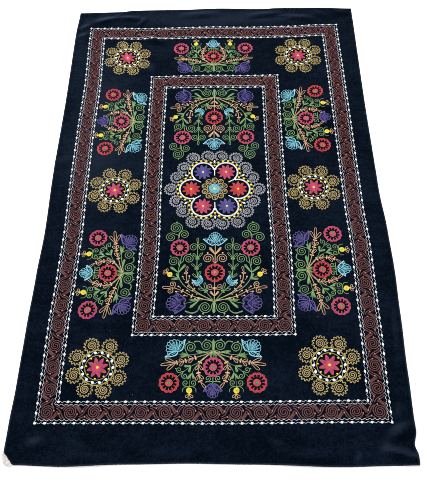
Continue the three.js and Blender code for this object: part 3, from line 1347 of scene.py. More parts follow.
@dataclass(frozen=True)
class Leaf:
    """A filled leaf: rows side by side from its base, spread as its shape swells."""

    base: Pair
    tip: Pair
    width: float
    thread: Thread = Thread.GREEN
    shape: LeafShape = LeafShape.CLUB
    row_gap: float = 2.3
    row_widths: Widths = (2.9, 3.3, 3.0)
    margin: float = 0.6
    tip_rounding: float = 0.13
    lens_tone: float = -0.4

    def draw(self, work: Needlework, spot: Spot) -> None:
        """Works the rows: each is a share of the swelling away from the leaf's middle line.

        Args:
            work: The needlework.
            spot: Where the motif is worked.
        """
        base, run, side = axis_of(self.base, self.tip)
        is_club = self.shape is LeafShape.CLUB
        for share in np.linspace(-1, 1, max(2, round(self.width / self.row_gap))):
            place = np.linspace(0, 1 - self.tip_rounding * share**2 if is_club else 1.0, 9)
            offset = share * (self.width - self.margin) / 2 * self.shape.swell(place)
            line = base + place[:, None] * run + offset[:, None] * side
            work.row(spot, line, self.thread, self.row_widths, tone=0.0 if is_club else self.lens_tone)


@dataclass(frozen=True)
class Loop:
    """An open loop, like a drop: out from its base, round its tip and back."""

    base: Pair
    tip: Pair
    width: float = 9.0
    thread: Thread = Thread.COPPER
    row_width: float = 3.0
    foot_share: float = 0.3
    tip_share: float = 0.9

    def draw(self, work: Needlework, spot: Spot) -> None:
        """Works the loop: along it a cosine out and back, across it a sine that grows towards the tip.

        Args:
            work: The needlework.
            spot: Where the motif is worked.
        """
        base, run, side = axis_of(self.base, self.tip)
        turn = np.linspace(0, 2 * math.pi, 25)
        along = (1 - np.cos(turn)) / 2
        across = self.width / 2 * np.sin(turn) * (self.foot_share + self.tip_share * along)
        loop = base + along[:, None] * run + across[:, None] * side
        work.row(spot, loop, self.thread, (self.row_width,), tone=work.line_tone)


@dataclass(frozen=True)
class Bead:
    """A satin bead: its middle, its length and width, and the way it lies in degrees from p."""

    place: Pair
    size: Pair
    thread: Thread = Thread.GREEN
    heading: float = 0.0

    def draw(self, work: Needlework, spot: Spot) -> None:
        """Works the bead."""
        work.bead(spot, self.place, self.size, self.thread, self.heading)


@dataclass(frozen=True)
class Bow:
    """Two beads, one on each side of a stem that runs in the bow's heading."""

    place: Pair
    heading: float
    thread: Thread = Thread.COPPER
    offset: float = 4.6
    bead_size: Pair = (8.6, 6.2)
    lean: float = 68.0

    def draw(self, work: Needlework, spot: Spot) -> None:
        """Works the two beads, leaning a little along the stem.

        Args:
            work: The needlework.
            spot: Where the motif is worked.
        """
        here = spot.at(*self.place, self.heading)
        for side in (-1, 1):
            work.bead(here, (side * self.offset, 0), self.bead_size, self.thread, 90 - side * self.lean)


@dataclass(frozen=True)
class Poppy:
    """A round flower: a scalloped ring with teeth inside, a dark gap, a filled heart with rays and an eye.

    Rings are given by their inset and their scallops' depth. Teeth end at a share of the flower's radius, and
    rays run between shares of the heart's.
    """

    place: Pair
    radius: float
    petals: Thread
    eye: Thread = Thread.GREEN
    eye_radius: float = 4.6
    scallops: int = 12
    rings: Table = ((4.0, 3.2), (6.6, 2.8), (9.2, 2.4))
    ring_width: float = 3.1
    heart_share: float = 0.36
    heart_margin: float = 1.0
    tooth_inset: float = 8.5
    tooth_tip: float = 0.52
    tooth_widths: Widths = (6.0, 4.4, 1.8)
    ray_ends: Pair = (0.5, 1.05)
    ray_width: float = 2.4

    def draw(self, work: Needlework, spot: Spot) -> None:
        """Works the rings and the heart, then the teeth and rays in turn, then the eye.

        Args:
            work: The needlework.
            spot: Where the motif is worked.
        """
        here = spot.at(*self.place)
        for inset, depth in self.rings:
            ring = scalloped_ring(self.radius - inset, depth, self.scallops)
            work.row(here, ring, self.petals, (self.ring_width,))
        heart = self.radius * self.heart_share
        filled = spiral((0, 0), heart - self.heart_margin, 0, 1, work.fill_pitch)
        work.row(here, filled, Thread.SALMON, work.fill_widths)
        tooth = np.linspace(self.radius - self.tooth_inset, self.radius * self.tooth_tip, 5)
        ray = np.linspace(heart * self.ray_ends[0], heart * self.ray_ends[1], 4)
        for turn in np.arange(self.scallops) * 2 * math.pi / self.scallops:
            way = np.array([math.cos(turn), math.sin(turn)])
            work.row(here, np.outer(tooth, way), self.petals, self.tooth_widths)
            work.row(here, np.outer(ray, way), self.petals, (self.ray_width,), raised=0.6)
        eye = spiral((0, 0), self.eye_radius, 0, 1, work.fill_pitch)
        work.row(here, eye, self.eye, work.fill_widths, raised=0.8, tone=-0.3)


@dataclass(frozen=True)
class Daisy:
    """A flower of filled, pointed petals round a yellow eye."""

    place: Pair
    reach: float
    petals: Thread
    count: int
    petal_width: float
    eye: float
    turn: float = 90.0
    petal_root: float = 3.0

    def draw(self, work: Needlework, spot: Spot) -> None:
        """Works the petals as lens-shaped leaves, then the eye.

        Args:
            work: The needlework.
            spot: Where the motif is worked.
        """
        here = spot.at(*self.place)
        for number in range(self.count):
            bearing = self.turn + number * 360 / self.count
            root, tip = (on_circle((0, 0), radius, bearing) for radius in (self.petal_root, self.reach))
            Leaf(root, tip, self.petal_width, self.petals, LeafShape.LENS).draw(work, here)
        work.bead(here, (0, 0), (self.eye, self.eye), Thread.YELLOW)


@dataclass(frozen=True)
class Tulip:
    """A tulip from its base: two broad, hatched sepals to the sides, and a scalloped dome of open ribs.

    The reach is the dome's top and the shoulder the height of the sepals' tips. The foot, the notch and the
    belly shape a sepal's outer edge. The heart, a share of the shoulder, is where its inner edge and the ribs
    begin, and the point narrows the dome. Hatches are numbers of the edges' points.
    """

    base: Pair
    heading: float
    thread: Thread
    reach: float = 63.0
    dome: float = 26.0
    spread: float = 48.0
    shoulder: float = 28.0
    foot: float = 14.0
    scallops: int = 8
    line: float = 3.1
    point: float = 0.06
    heart: float = 0.3
    notch: float = 6.0
    belly: Pair = (0.45, 0.36)
    inner_edge: Table = ((0.2, 0.6), (0.42, 0.82), (0.66, 1.0), (1.0, 1.0))
    outer_widths: Widths = (4.2, 5.2, 3.8)
    inner_widths: Widths = (2.8, 3.6)
    tip_widths: Widths = (4.0, 3.0)
    tip_from: int = 25
    hatches: tuple[int, ...] = (9, 14, 19, 24)
    hatch_width: float = 2.2
    rim_ends: Pair = (-10.0, 190.0)
    rim_steps: int = 8
    rim_swell: Pair = (0.9, 0.12)
    rib_spread: float = 0.05
    rib_rise: float = 0.5
    dark_rib: float = 0.72
    dark_widths: Widths = (1.2, 3.4)
    bright_rib: float = 0.92
    bright_foot: float = 1.6

    def draw(self, work: Needlework, spot: Spot) -> None:
        """Works each sepal's two edges, its filled tip and the hatching between them, then the dome.

        Args:
            work: The needlework.
            spot: Where the motif is worked.
        """
        here = spot.at(*self.base, self.heading)
        tip = np.array([self.spread, self.shoulder])
        belly = (self.foot + (self.spread - self.foot) * self.belly[0], self.shoulder * self.belly[1])
        outer = smooth_path([(0, self.notch), (self.foot / 2, 1), (self.foot, 0), belly, tip])
        inner = smooth_path(np.array([(0, self.heart), *self.inner_edge]) * tip)
        for side in (here, here.mirror()):
            work.row(side, outer, self.thread, self.outer_widths, tone=1.0)
            work.row(side, inner, self.thread, self.inner_widths, tone=0.7)
            work.row(side, (outer + inner)[self.tip_from :] / 2, self.thread, self.tip_widths, tone=0.8)
            for place in self.hatches:
                hatch = np.stack([outer[place], inner[place]])
                work.row(side, hatch, self.thread, (self.hatch_width,), tone=-0.2)
        self.draw_dome(work, here)

    def draw_dome(self, work: Needlework, here: Spot) -> None:
        """Works the dome: a scalloped rim, and bright ribs that reach it with dark, shorter ones between.

        The rim is a little more than the upper half of an ellipse about the shoulder's middle, narrowed
        where it is high. A small hole is left past the end of each dark rib.

        Args:
            work: The needlework.
            here: The tulip's base.
        """
        step = self.rim_steps
        turn = np.radians(np.linspace(*self.rim_ends, self.scallops * step + 1))
        middle = np.array([0, self.shoulder])
        across = self.dome * np.cos(turn) * (1 - self.point * np.maximum(np.sin(turn), 0))
        rim = np.column_stack([across, (self.reach - self.shoulder) * np.sin(turn)])
        wave = np.abs(np.sin(np.linspace(0, math.pi * self.scallops, len(turn))))
        swell = self.rim_swell[0] + self.rim_swell[1] * wave
        work.row(here, middle + rim * swell[:, None], self.thread, (self.line,))
        rise = self.shoulder * (self.heart + self.rib_rise * np.sin(turn) ** 2)
        roots = np.column_stack([across * self.rib_spread, rise])
        dark = np.stack([roots, middle + rim * self.dark_rib], 1)
        for rib in dark[step // 2 :: step]:
            work.row(here, rib, self.thread, self.dark_widths, tone=-1.0)
        bright = np.stack([roots, middle + rim * self.bright_rib], 1)
        for rib in bright[step:-step:step]:
            work.row(here, rib, self.thread, (self.bright_foot, self.line, self.line), raised=0.3, tone=0.3)


@dataclass(frozen=True)
class SmallTulip:
    """A small filled tulip of two pointed petals that part at the top, one outwards and one upright."""

    base: Pair
    thread: Thread = Thread.TURQUOISE
    cup: Table = ((22, 25), (14, 13), (8, 4), (1, 0), (-7, 5), (-15, 11), (-20, 20), (-17, 31), (-10, 43))
    notch: Table = ((22, 25), (14, 22), (7, 20), (3, 18), (1, 20), (-1, 24), (-4, 30), (-7, 37), (-10, 43))
    fill_shares: tuple[float, ...] = (0.3, 0.5, 0.7)
    fill_width: float = 3.4
    edge_width: float = 3.2

    def draw(self, work: Needlework, spot: Spot) -> None:
        """Works darker rows between the cup's edge and the notch between its petals, then those two edges.

        Args:
            work: The needlework.
            spot: Where the motif is worked.
        """
        here = spot.at(*self.base)
        cup, notch = smooth_path(self.cup), smooth_path(self.notch)
        for share in self.fill_shares:
            work.row(here, cup + share * (notch - cup), self.thread, (self.fill_width,), tone=-0.4)
        for edge in (cup, notch):
            work.row(here, edge, self.thread, (self.edge_width,), raised=0.4, tone=0.6)


@dataclass(frozen=True)
class Sprouts:
    """Two beads that point away from a stem's node, on the outer parts of stalks that bend apart."""

    base: Pair
    tips: tuple[Pair, Pair]
    bend: float = 0.18
    bare_points: int = 6
    stalk_width: float = 2.8
    bead_size: Pair = (8.0, 7.0)

    def draw(self, work: Needlework, spot: Spot) -> None:
        """Works each stalk through a middle point set to one side, then its bead.

        Args:
            work: The needlework.
            spot: Where the motif is worked.
        """
        base = np.array(self.base, float)
        for tip, bend in zip(np.array(self.tips, float), (-self.bend, self.bend)):
            aside = np.array([base[1] - tip[1], tip[0] - base[0]]) * bend
            stalk = smooth_path([base, (base + tip) / 2 + aside, tip])[self.bare_points :]
            work.row(spot, stalk, Thread.COPPER, (self.stalk_width,), tone=work.line_tone)
            work.bead(spot, tuple(tip), self.bead_size, Thread.COPPER)


@dataclass(frozen=True)
class Bud:
    """A round yellow bud with a neck and a crown of three copper loops, both given from its rim."""

    place: Pair
    heading: float = 90.0
    radius: float = 9.4
    pitch: float = 2.2
    neck_half: float = 1.6
    neck_taper: float = 0.9
    neck_ends: Pair = (-2.0, 7.0)
    neck_width: float = 3.4
    crown_base: float = 4.0
    crown_reach: float = 16.0
    crown_lean: float = 52.0

    def draw(self, work: Needlework, spot: Spot) -> None:
        """Works the filled round, then its neck and crown.

        Args:
            work: The needlework.
            spot: Where the motif is worked.
        """
        here = spot.at(*self.place, self.heading)
        filled = spiral((0, 0), self.radius, -90, 1, self.pitch)
        work.row(here, filled, Thread.YELLOW, work.fill_widths, tone=0.4)
        low, high = (self.radius + end for end in self.neck_ends)
        for side in (-self.neck_half, self.neck_half):
            neck = np.array([(side, low), (side * self.neck_taper, high)])
            work.row(here, neck, Thread.YELLOW, (self.neck_width,))
        base = (0, self.radius + self.crown_base)
        for lean in (-self.crown_lean, 0, self.crown_lean):
            Loop(base, on_circle(base, self.crown_reach, 90 - lean)).draw(work, here)


def draw_all(motifs: Sequence[Motif], work: Needlework, *spots: Spot) -> None:
    """Works each motif at each spot.

    Args:
        motifs: The motifs.
        work: The needlework.
        *spots: Where they are worked.
    """
    for spot in spots:
        for motif in motifs:
            motif.draw(work, spot)


# Borders, rosettes, medallion and sprays


@dataclass(frozen=True)
class ScrollBorder:
    """A rectangular band: a running scroll of rust spirals between two white edgings."""

    centre: Pair
    half_size: Pair
    depth: float = 72.0
    wave: float = 16.8
    wave_steps: int = 8
    swing: float = 2.2
    line_gap: float = 10.0
    line_width: float = 2.4
    bead_size: Pair = (11.5, 9.2)
    waves_per_bead: int = 2
    scroll_pitch: float = 79.0
    scroll_radius: float = 18.2
    scroll_starts: Pair = (16.0, 196.0)
    scroll_widths: Widths = (4.0,)
    row_gap: float = 14.4
    hairpin: tuple[Table, ...] = (
        ((14, -22), (23, -13), (30, -3), (34, 3), (38, 1), (37, -6), (31, -14), (24, -23)),
        ((19, -23), (27, -13), (33, -3)),
    )
    crossing: tuple[Table, ...] = (
        ((30, 21), (40, 18), (51, 14), (58, 19), (65, 23)),
        ((31, 14), (38, 11), (45, 4), (50, -5), (55, -14), (63, -22)),
        ((42, -4), (46, -13), (54, -23)),
    )
    embers: Table = ((24, 6), (51, 14), (42, -4))
    ember_size: Pair = (7.0, 5.5)

    def draw(self, work: Needlework) -> None:
        """Works the four sides, each from its own corner, with p along the side and q inwards.

        Args:
            work: The needlework.
        """
        for side in range(4):
            across, along = self.half_size[::-1] if side % 2 else self.half_size
            spot = Spot(*self.centre).turned(90 * side).at(-across, -along)
            length = 2 * across
            for inset in (0, self.depth):
                self.edging(work, spot, length, inset, True)
            for inset in (self.line_gap, self.depth - self.line_gap):
                self.edging(work, spot, length, inset, False)
            self.scroll(work, spot, length)

    def edging(self, work: Needlework, spot: Spot, length: float, inset: float, beaded: bool) -> None:
        """Works one wavy white row along a side, with a bead on every other wave where it is beaded.

        Args:
            work: The needlework.
            spot: The side's corner.
            length: The side's length.
            inset: The row's distance from the border's outer edge.
            beaded: Whether it carries beads.
        """
        run = length - 2 * inset
        count = round(run / (self.wave * self.waves_per_bead))
        waves = count * self.waves_per_bead
        share = np.linspace(0, 1, waves * self.wave_steps + 1)
        line = np.column_stack([share * run, self.swing * np.sin(2 * math.pi * share * waves)]) + inset
        work.row(spot, line, Thread.WHITE, (self.line_width,), tone=-1.0)
        if beaded:
            for number in range(count):
                work.bead(spot, (inset + run * number / count, inset), self.bead_size, Thread.WHITE)

    def scroll(self, work: Needlework, spot: Spot, length: float) -> None:
        """Works the running scroll: every other spiral is mirrored across the band, with what follows it.

        Args:
            work: The needlework.
            spot: The side's corner.
            length: The side's length.
        """
        middle = self.depth / 2
        run = length - self.depth
        count = round(run / self.scroll_pitch)
        for number in range(count):
            here = spot.at(middle + run * number / count, middle)
            if number % 2:
                here = here.turned(180).mirror()
            for start in self.scroll_starts:
                turns = spiral((0, 0), self.scroll_radius, start, 1, self.row_gap)
                work.row(here, turns, Thread.RUST, self.scroll_widths)
            for line in (*self.hairpin, *self.crossing):
                work.row(here, smooth_path(line), Thread.RUST, self.scroll_widths)
            for place in self.embers:
                work.bead(here, place, self.ember_size, Thread.EMBER, 90)


@dataclass(frozen=True)
class CurledPetal:
    """A petal of a spiral inside a looped edging."""

    thread: Thread
    centre_radius: float = 0.0
    curl_radius: float = 14.0
    edging_radius: float = 24.8
    swing: float = 4.2
    lobes: int = 11
    lobe_steps: int = 12
    open_angle: float = 150.0
    pitch: float = 6.0
    width: float = 3.8

    def draw(self, work: Needlework, spot: Spot, angle: float) -> None:
        """Works the petal at an angle about the spot: its edging's radius swings with a cosine.

        Args:
            work: The needlework.
            spot: The flower's centre.
            angle: The petal's direction in degrees.
        """
        centre = on_circle((0, 0), self.centre_radius, angle)
        curl = spiral(centre, self.curl_radius, angle + 180, 1, self.pitch)
        work.row(spot, curl, self.thread, (self.width,))
        steps = self.lobes * self.lobe_steps + 1
        phase = np.linspace(-math.pi, math.pi * (2 * self.lobes - 1), steps)
        radius = self.edging_radius + self.swing * np.cos(phase)
        edging = arc(centre, radius, angle - self.open_angle, angle + self.open_angle, steps)
        work.row(spot, edging, self.thread, (self.width,))


@dataclass(frozen=True)
class GoldRosette:
    """A gold rosette: eight curled petals, rings with white beads between, yellow dots and a pink star."""

    petals: CurledPetal = CurledPetal(Thread.GOLD, 85.5)
    petal_turn: float = 19.5
    petal_count: int = 8
    rings: tuple[tuple[float, Thread, float], ...] = (
        (64.5, Thread.GOLD, 2.9),
        (62.3, Thread.YELLOW, 1.4),
        (45.0, Thread.GOLD, 2.0),
        (43.6, Thread.YELLOW, 0.9),
    )
    ring_steps: int = 97
    dot_ring: float = 40.5
    dot_size: Pair = (7.5, 6.5)
    bead_ring: float = 55.0
    bead_count: int = 14
    bead_size: Pair = (13.0, 11.0)
    bead_lean: float = 45.0
    line_swing: float = 3.4
    line_width: float = 1.7
    star: Daisy = Daisy((0, 0), 37.5, Thread.PINK, count=8, petal_width=12.5, turn=15.5, eye=12.0)

    def draw(self, work: Needlework, spot: Spot) -> None:
        """Works the petals and dots, the rings, the beads on their wavy line, and the star.

        Args:
            work: The needlework.
            spot: Its centre.
        """
        step = 360 / self.petal_count
        for number in range(self.petal_count):
            self.petals.draw(work, spot, self.petal_turn + number * step)
            dot = on_circle((0, 0), self.dot_ring, self.star.turn + (number + 0.5) * step)
            work.bead(spot, dot, self.dot_size, Thread.YELLOW)
        for radius, thread, width in self.rings:
            work.row(spot, arc((0, 0), radius, 0, 360, self.ring_steps), thread, (width,))
        phase = np.linspace(0, 2 * math.pi * self.bead_count, 12 * self.bead_count + 1)
        line = arc((0, 0), self.bead_ring + self.line_swing * np.sin(phase), 0, 360, len(phase))
        work.row(spot, line, Thread.WHITE, (self.line_width,))
        for number in range(self.bead_count):
            bearing = 360 * number / self.bead_count
            place = on_circle((0, 0), self.bead_ring, bearing)
            work.bead(spot, place, self.bead_size, Thread.WHITE, bearing + self.bead_lean)
        self.star.draw(work, spot)


@dataclass(frozen=True)
class Medallion:
    """The round medallion: six daisies in white lobes with yellow beads, grey petals and a blue heart.

    A lobe's lines are given by their distance from its radius, and the gold lines by their distance from the
    beads' radius and their half angle.
    """

    daisies: tuple[Thread, ...] = (Thread.RED, Thread.PINK, Thread.PURPLE) * 2
    daisy_reach: float = 37.0
    lobe_centre: float = 97.0
    lobe_radius: float = 47.5
    lobe_half_angle: float = 102.0
    lobe_lines: Pair = (-1.6, 1.6)
    lobe_width: float = 3.6
    arc_steps: int = 60
    bead_radius: float = 57.0
    bead_step: float = 21.5
    beads_a_side: int = 3
    bead_size: Pair = (11.5, 9.0)
    gold_lines: Table = ((-5.5, 86), (5.5, 80))
    gold_width: float = 1.8
    dart_dot: Bead = Bead((0, 117), (10.0, 9.5), Thread.YELLOW)
    dart: Table = ((0, 102), (0, 66))
    dart_widths: Widths = (6.5, 5.0)
    dart_beads: tuple[Bead, ...] = (
        Bead((0, 98), (16.0, 8.0), Thread.WHITE),
        Bead((0, 137), (17.0, 8.5), Thread.WHITE, 90),
    )
    petals: CurledPetal = CurledPetal(
        Thread.GREY, curl_radius=12.8, edging_radius=24.4, swing=4.6, lobes=13, open_angle=156.0,
        pitch=6.2, width=4.5,
    )
    petal_places: Table = ((168.0, -20.3), (181.0, 0.0), (168.0, 20.3))
    heart_radius: float = 21.0
    heart_rim: float = 22.0
    heart_swell: float = 3.0
    heart_line: float = 3.0
    heart_star: Daisy = Daisy((0, 0), 8.5, Thread.YELLOW, count=6, petal_width=4.5, eye=6.0)
    gold_ring: float = 29.5
    gold_ring_width: float = 2.4
    ringlets: int = 10
    ringlet_centre: float = 43.0
    ringlet_radius: float = 10.8
    ringlet_width: float = 4.2
    ringlet_eye: float = 3.4
    ringlet_pitch: float = 4.6
    eye_width: float = 3.4

    def draw(self, work: Needlework, spot: Spot) -> None:
        """Works the six lobes, each turned from the first, the grey petals and the heart.

        Args:
            work: The needlework.
            spot: Its centre.
        """
        step = 360 / len(self.daisies)
        for number, thread in enumerate(self.daisies):
            self.draw_lobe(work, spot.turned(step * number), thread, step)
        for number in range(len(self.daisies)):
            for reach, angle in self.petal_places:
                replace(self.petals, centre_radius=reach).draw(work, spot, step * number + angle)
        self.draw_heart(work, spot)

    def draw_lobe(self, work: Needlework, spot: Spot, thread: Thread, step: float) -> None:
        """Works one lobe on the spot's p axis, and the dart beside it.

        Args:
            work: The needlework.
            spot: The medallion's centre, turned to the lobe.
            thread: The daisy's thread.
            step: The angle between lobes in degrees.
        """
        centre = (self.lobe_centre, 0.0)
        Daisy(centre, self.daisy_reach, thread, count=10, petal_width=12.0, eye=11.0).draw(work, spot)
        for offset in self.lobe_lines:
            ends = (-self.lobe_half_angle, self.lobe_half_angle)
            lobe = arc(centre, self.lobe_radius + offset, *ends, self.arc_steps)
            work.row(spot, lobe, Thread.WHITE, (self.lobe_width,), tone=0.6)
        for offset, reach in self.gold_lines:
            line = arc(centre, self.bead_radius + offset, -reach, reach, self.arc_steps)
            work.row(spot, line, Thread.GOLD, (self.gold_width,), tone=0.2)
        for number in range(-self.beads_a_side, self.beads_a_side + 1):
            bearing = number * self.bead_step
            place = on_circle(centre, self.bead_radius, bearing)
            work.bead(spot, place, self.bead_size, Thread.YELLOW, bearing + 90)
        here = spot.turned(-step)
        self.dart_dot.draw(work, here)
        work.row(here, np.array(self.dart, float), Thread.WHITE, self.dart_widths, tone=0.6)
        draw_all(self.dart_beads, work, here)

    def draw_heart(self, work: Needlework, spot: Spot) -> None:
        """Works the turquoise round with its scalloped rim and small star, and the ring of gold ringlets.

        Args:
            work: The needlework.
            spot: The medallion's centre.
        """
        filled = spiral((0, 0), self.heart_radius, 90, 1, work.fill_pitch)
        work.row(spot, filled, Thread.TURQUOISE, work.fill_widths)
        rim = scalloped_ring(self.heart_rim, self.heart_swell, self.ringlets)
        work.row(spot, rim, Thread.TURQUOISE, (self.heart_line,))
        self.heart_star.draw(work, spot)
        ring = arc((0, 0), self.gold_ring, 0, 360, self.arc_steps)
        work.row(spot, ring, Thread.GOLD, (self.gold_ring_width,), tone=0.4)
        for number in range(self.ringlets):
            bearing = (number + 0.5) * 360 / self.ringlets
            centre = on_circle((0, 0), self.ringlet_centre, bearing)
            ringlet = arc(centre, self.ringlet_radius, 0, 360, 25)
            work.row(spot, ringlet, Thread.GOLD, (self.ringlet_width,), tone=0.5)
            eye = spiral(centre, self.ringlet_eye, bearing, 1, self.ringlet_pitch)
            work.row(spot, eye, Thread.GOLD, (self.eye_width,), tone=0.4)


@dataclass(frozen=True)
class EndSpray:
    """A spray of the field: a middle flower, two corner flowers, three tulips, two buds and copper sprigs."""

    middle: Thread
    corners: Thread
    inner_tulips: Thread
    outer_tulip: Thread

    def draw(self, work: Needlework, spot: Spot) -> None:
        """Works the motifs on the spray's middle line, then its two sides."""
        draw_all(self.middle_line(), work, spot)
        draw_all([*self.green_side(), *self.copper_side()], work, spot, spot.mirror())

    def middle_line(self) -> list[Motif]:
        """Lists the motifs on the middle line.

        Returns:
            The motifs, in the order of their stitching.
        """
        return [
            Leaf((0, 2), (0, -38), 8),
            Stem(((0, 0), (0, 16), (0, 30)), (3.4, 2.0)),
            Poppy((0, 64), 36, self.middle),
            Stem(((0, 100), (0, 124))),
            Tulip(
                (0, 124), 90, self.outer_tulip, reach=49, dome=21, spread=33, shoulder=25, foot=9,
                scallops=6, line=3.2,
            ),
        ]

    def green_side(self) -> list[Motif]:
        """Lists the stems, leaves and flowers of one side.

        Returns:
            The motifs, in the order of their stitching.
        """
        return [
            Stem(((0, 1), (28, 10), (60, 17), (90, 20), (124, 17)), (4.0, 2.4)),
            Curl((24, -15), 17, 200, 1, ((1, 4), (4, -8))),
            Bead((27, -37), (8, 6), heading=90),
            Stem(((41, -14), (46, -26), (56, -31), (69, -28)), (3.0, 4.8, 6.0)),
            Leaf((18, 12), (62, 6), 9.5),
            Curl((81, -8), 17, 40, -1, ((88, 21), (95, 12))),
            Bead((87, -29), (8, 6), heading=90),
            Leaf((84, 21), (119, 28), 8),
            Leaf((88, 20), (116, 13), 5),
            Leaf((1, 8), (11, 28), 7),
            Curl((18, 105), 8, 60, 1, ((0, 115), (9, 116)), pitch=7.0),
            Bead((24, 117), (6, 4.5), heading=40),
            Stem(((4, 6), (30, 27), (55, 49), (82, 64), (127, 101)), (3.0, 2.2)),
            Leaf((78, 60), (102, 61), 8.5),
            Leaf((78, 61), (85, 83), 8.5),
            Curl((119, 74), 8, 150, -1, ((103, 80), (109, 81)), pitch=7.0),
            Bead((131, 70), (6, 4.5)),
            Curl((99, 96), 8, -50, 1, ((104, 81), (107, 86)), pitch=7.0),
            Bead((90, 105), (6, 4.5), heading=120),
            Stem(((32, 30), (57, 56), (72, 82), (80, 110), (81, 136)), (2.4, 2.0)),
            Leaf((73, 84), (66, 107), 8.5),
            Leaf((74, 86), (89, 106), 8.5),
            Curl((69, 121), 8, 70, 1, ((81, 134), (76, 133)), pitch=7.0),
            Curl((95, 121), 8, 110, -1, ((81, 134), (87, 133)), pitch=7.0),
            Stem(((81, 134), (68, 135), (59, 142), (58, 153)), (2.2, 3.2)),
            Stem(((81, 134), (95, 135), (104, 142), (105, 153)), (2.2, 3.2)),
            Bud((81, 147)),
            Poppy((153, 120), 36, self.corners),
            Tulip((122, 11), -47, self.inner_tulips, reach=55, dome=32, spread=49, shoulder=21, foot=15),
        ]

    def copper_side(self) -> list[Motif]:
        """Lists the copper sprigs of one side.

        Returns:
            The motifs, in the order of their stitching.
        """
        copper = Thread.COPPER
        return [
            Stem(((3, 6), (30, 19), (63, 30), (97, 41), (131, 48)), thread=copper),
            *(Bow(place, 18) for place in ((63, 30), (97, 41), (128, 48))),
            *(Loop((70, 32), tip) for tip in ((88, 28), (86, 48))),
            *(Loop((103, 43), tip) for tip in ((121, 37), (117, 60))),
            *(Loop((132, 49), tip, 11) for tip in ((185, 57), (169, 34), (162, 75))),
            Stem(((3, 8), (25, 27), (46, 47), (52, 66), (50, 88), (43, 117)), thread=copper),
            *(Bow(place, way) for place, way in (((46, 47), 60), ((51, 85), 100), ((44, 114), 110))),
            *(Loop((50, 56), tip) for tip in ((38, 74), (62, 74))),
            *(Loop((50, 90), tip) for tip in ((33, 106), (60, 111))),
            Loop((42, 118), (25, 138), 9),
            Bead((35, 35), (7, 5.5), copper, 45),
        ]


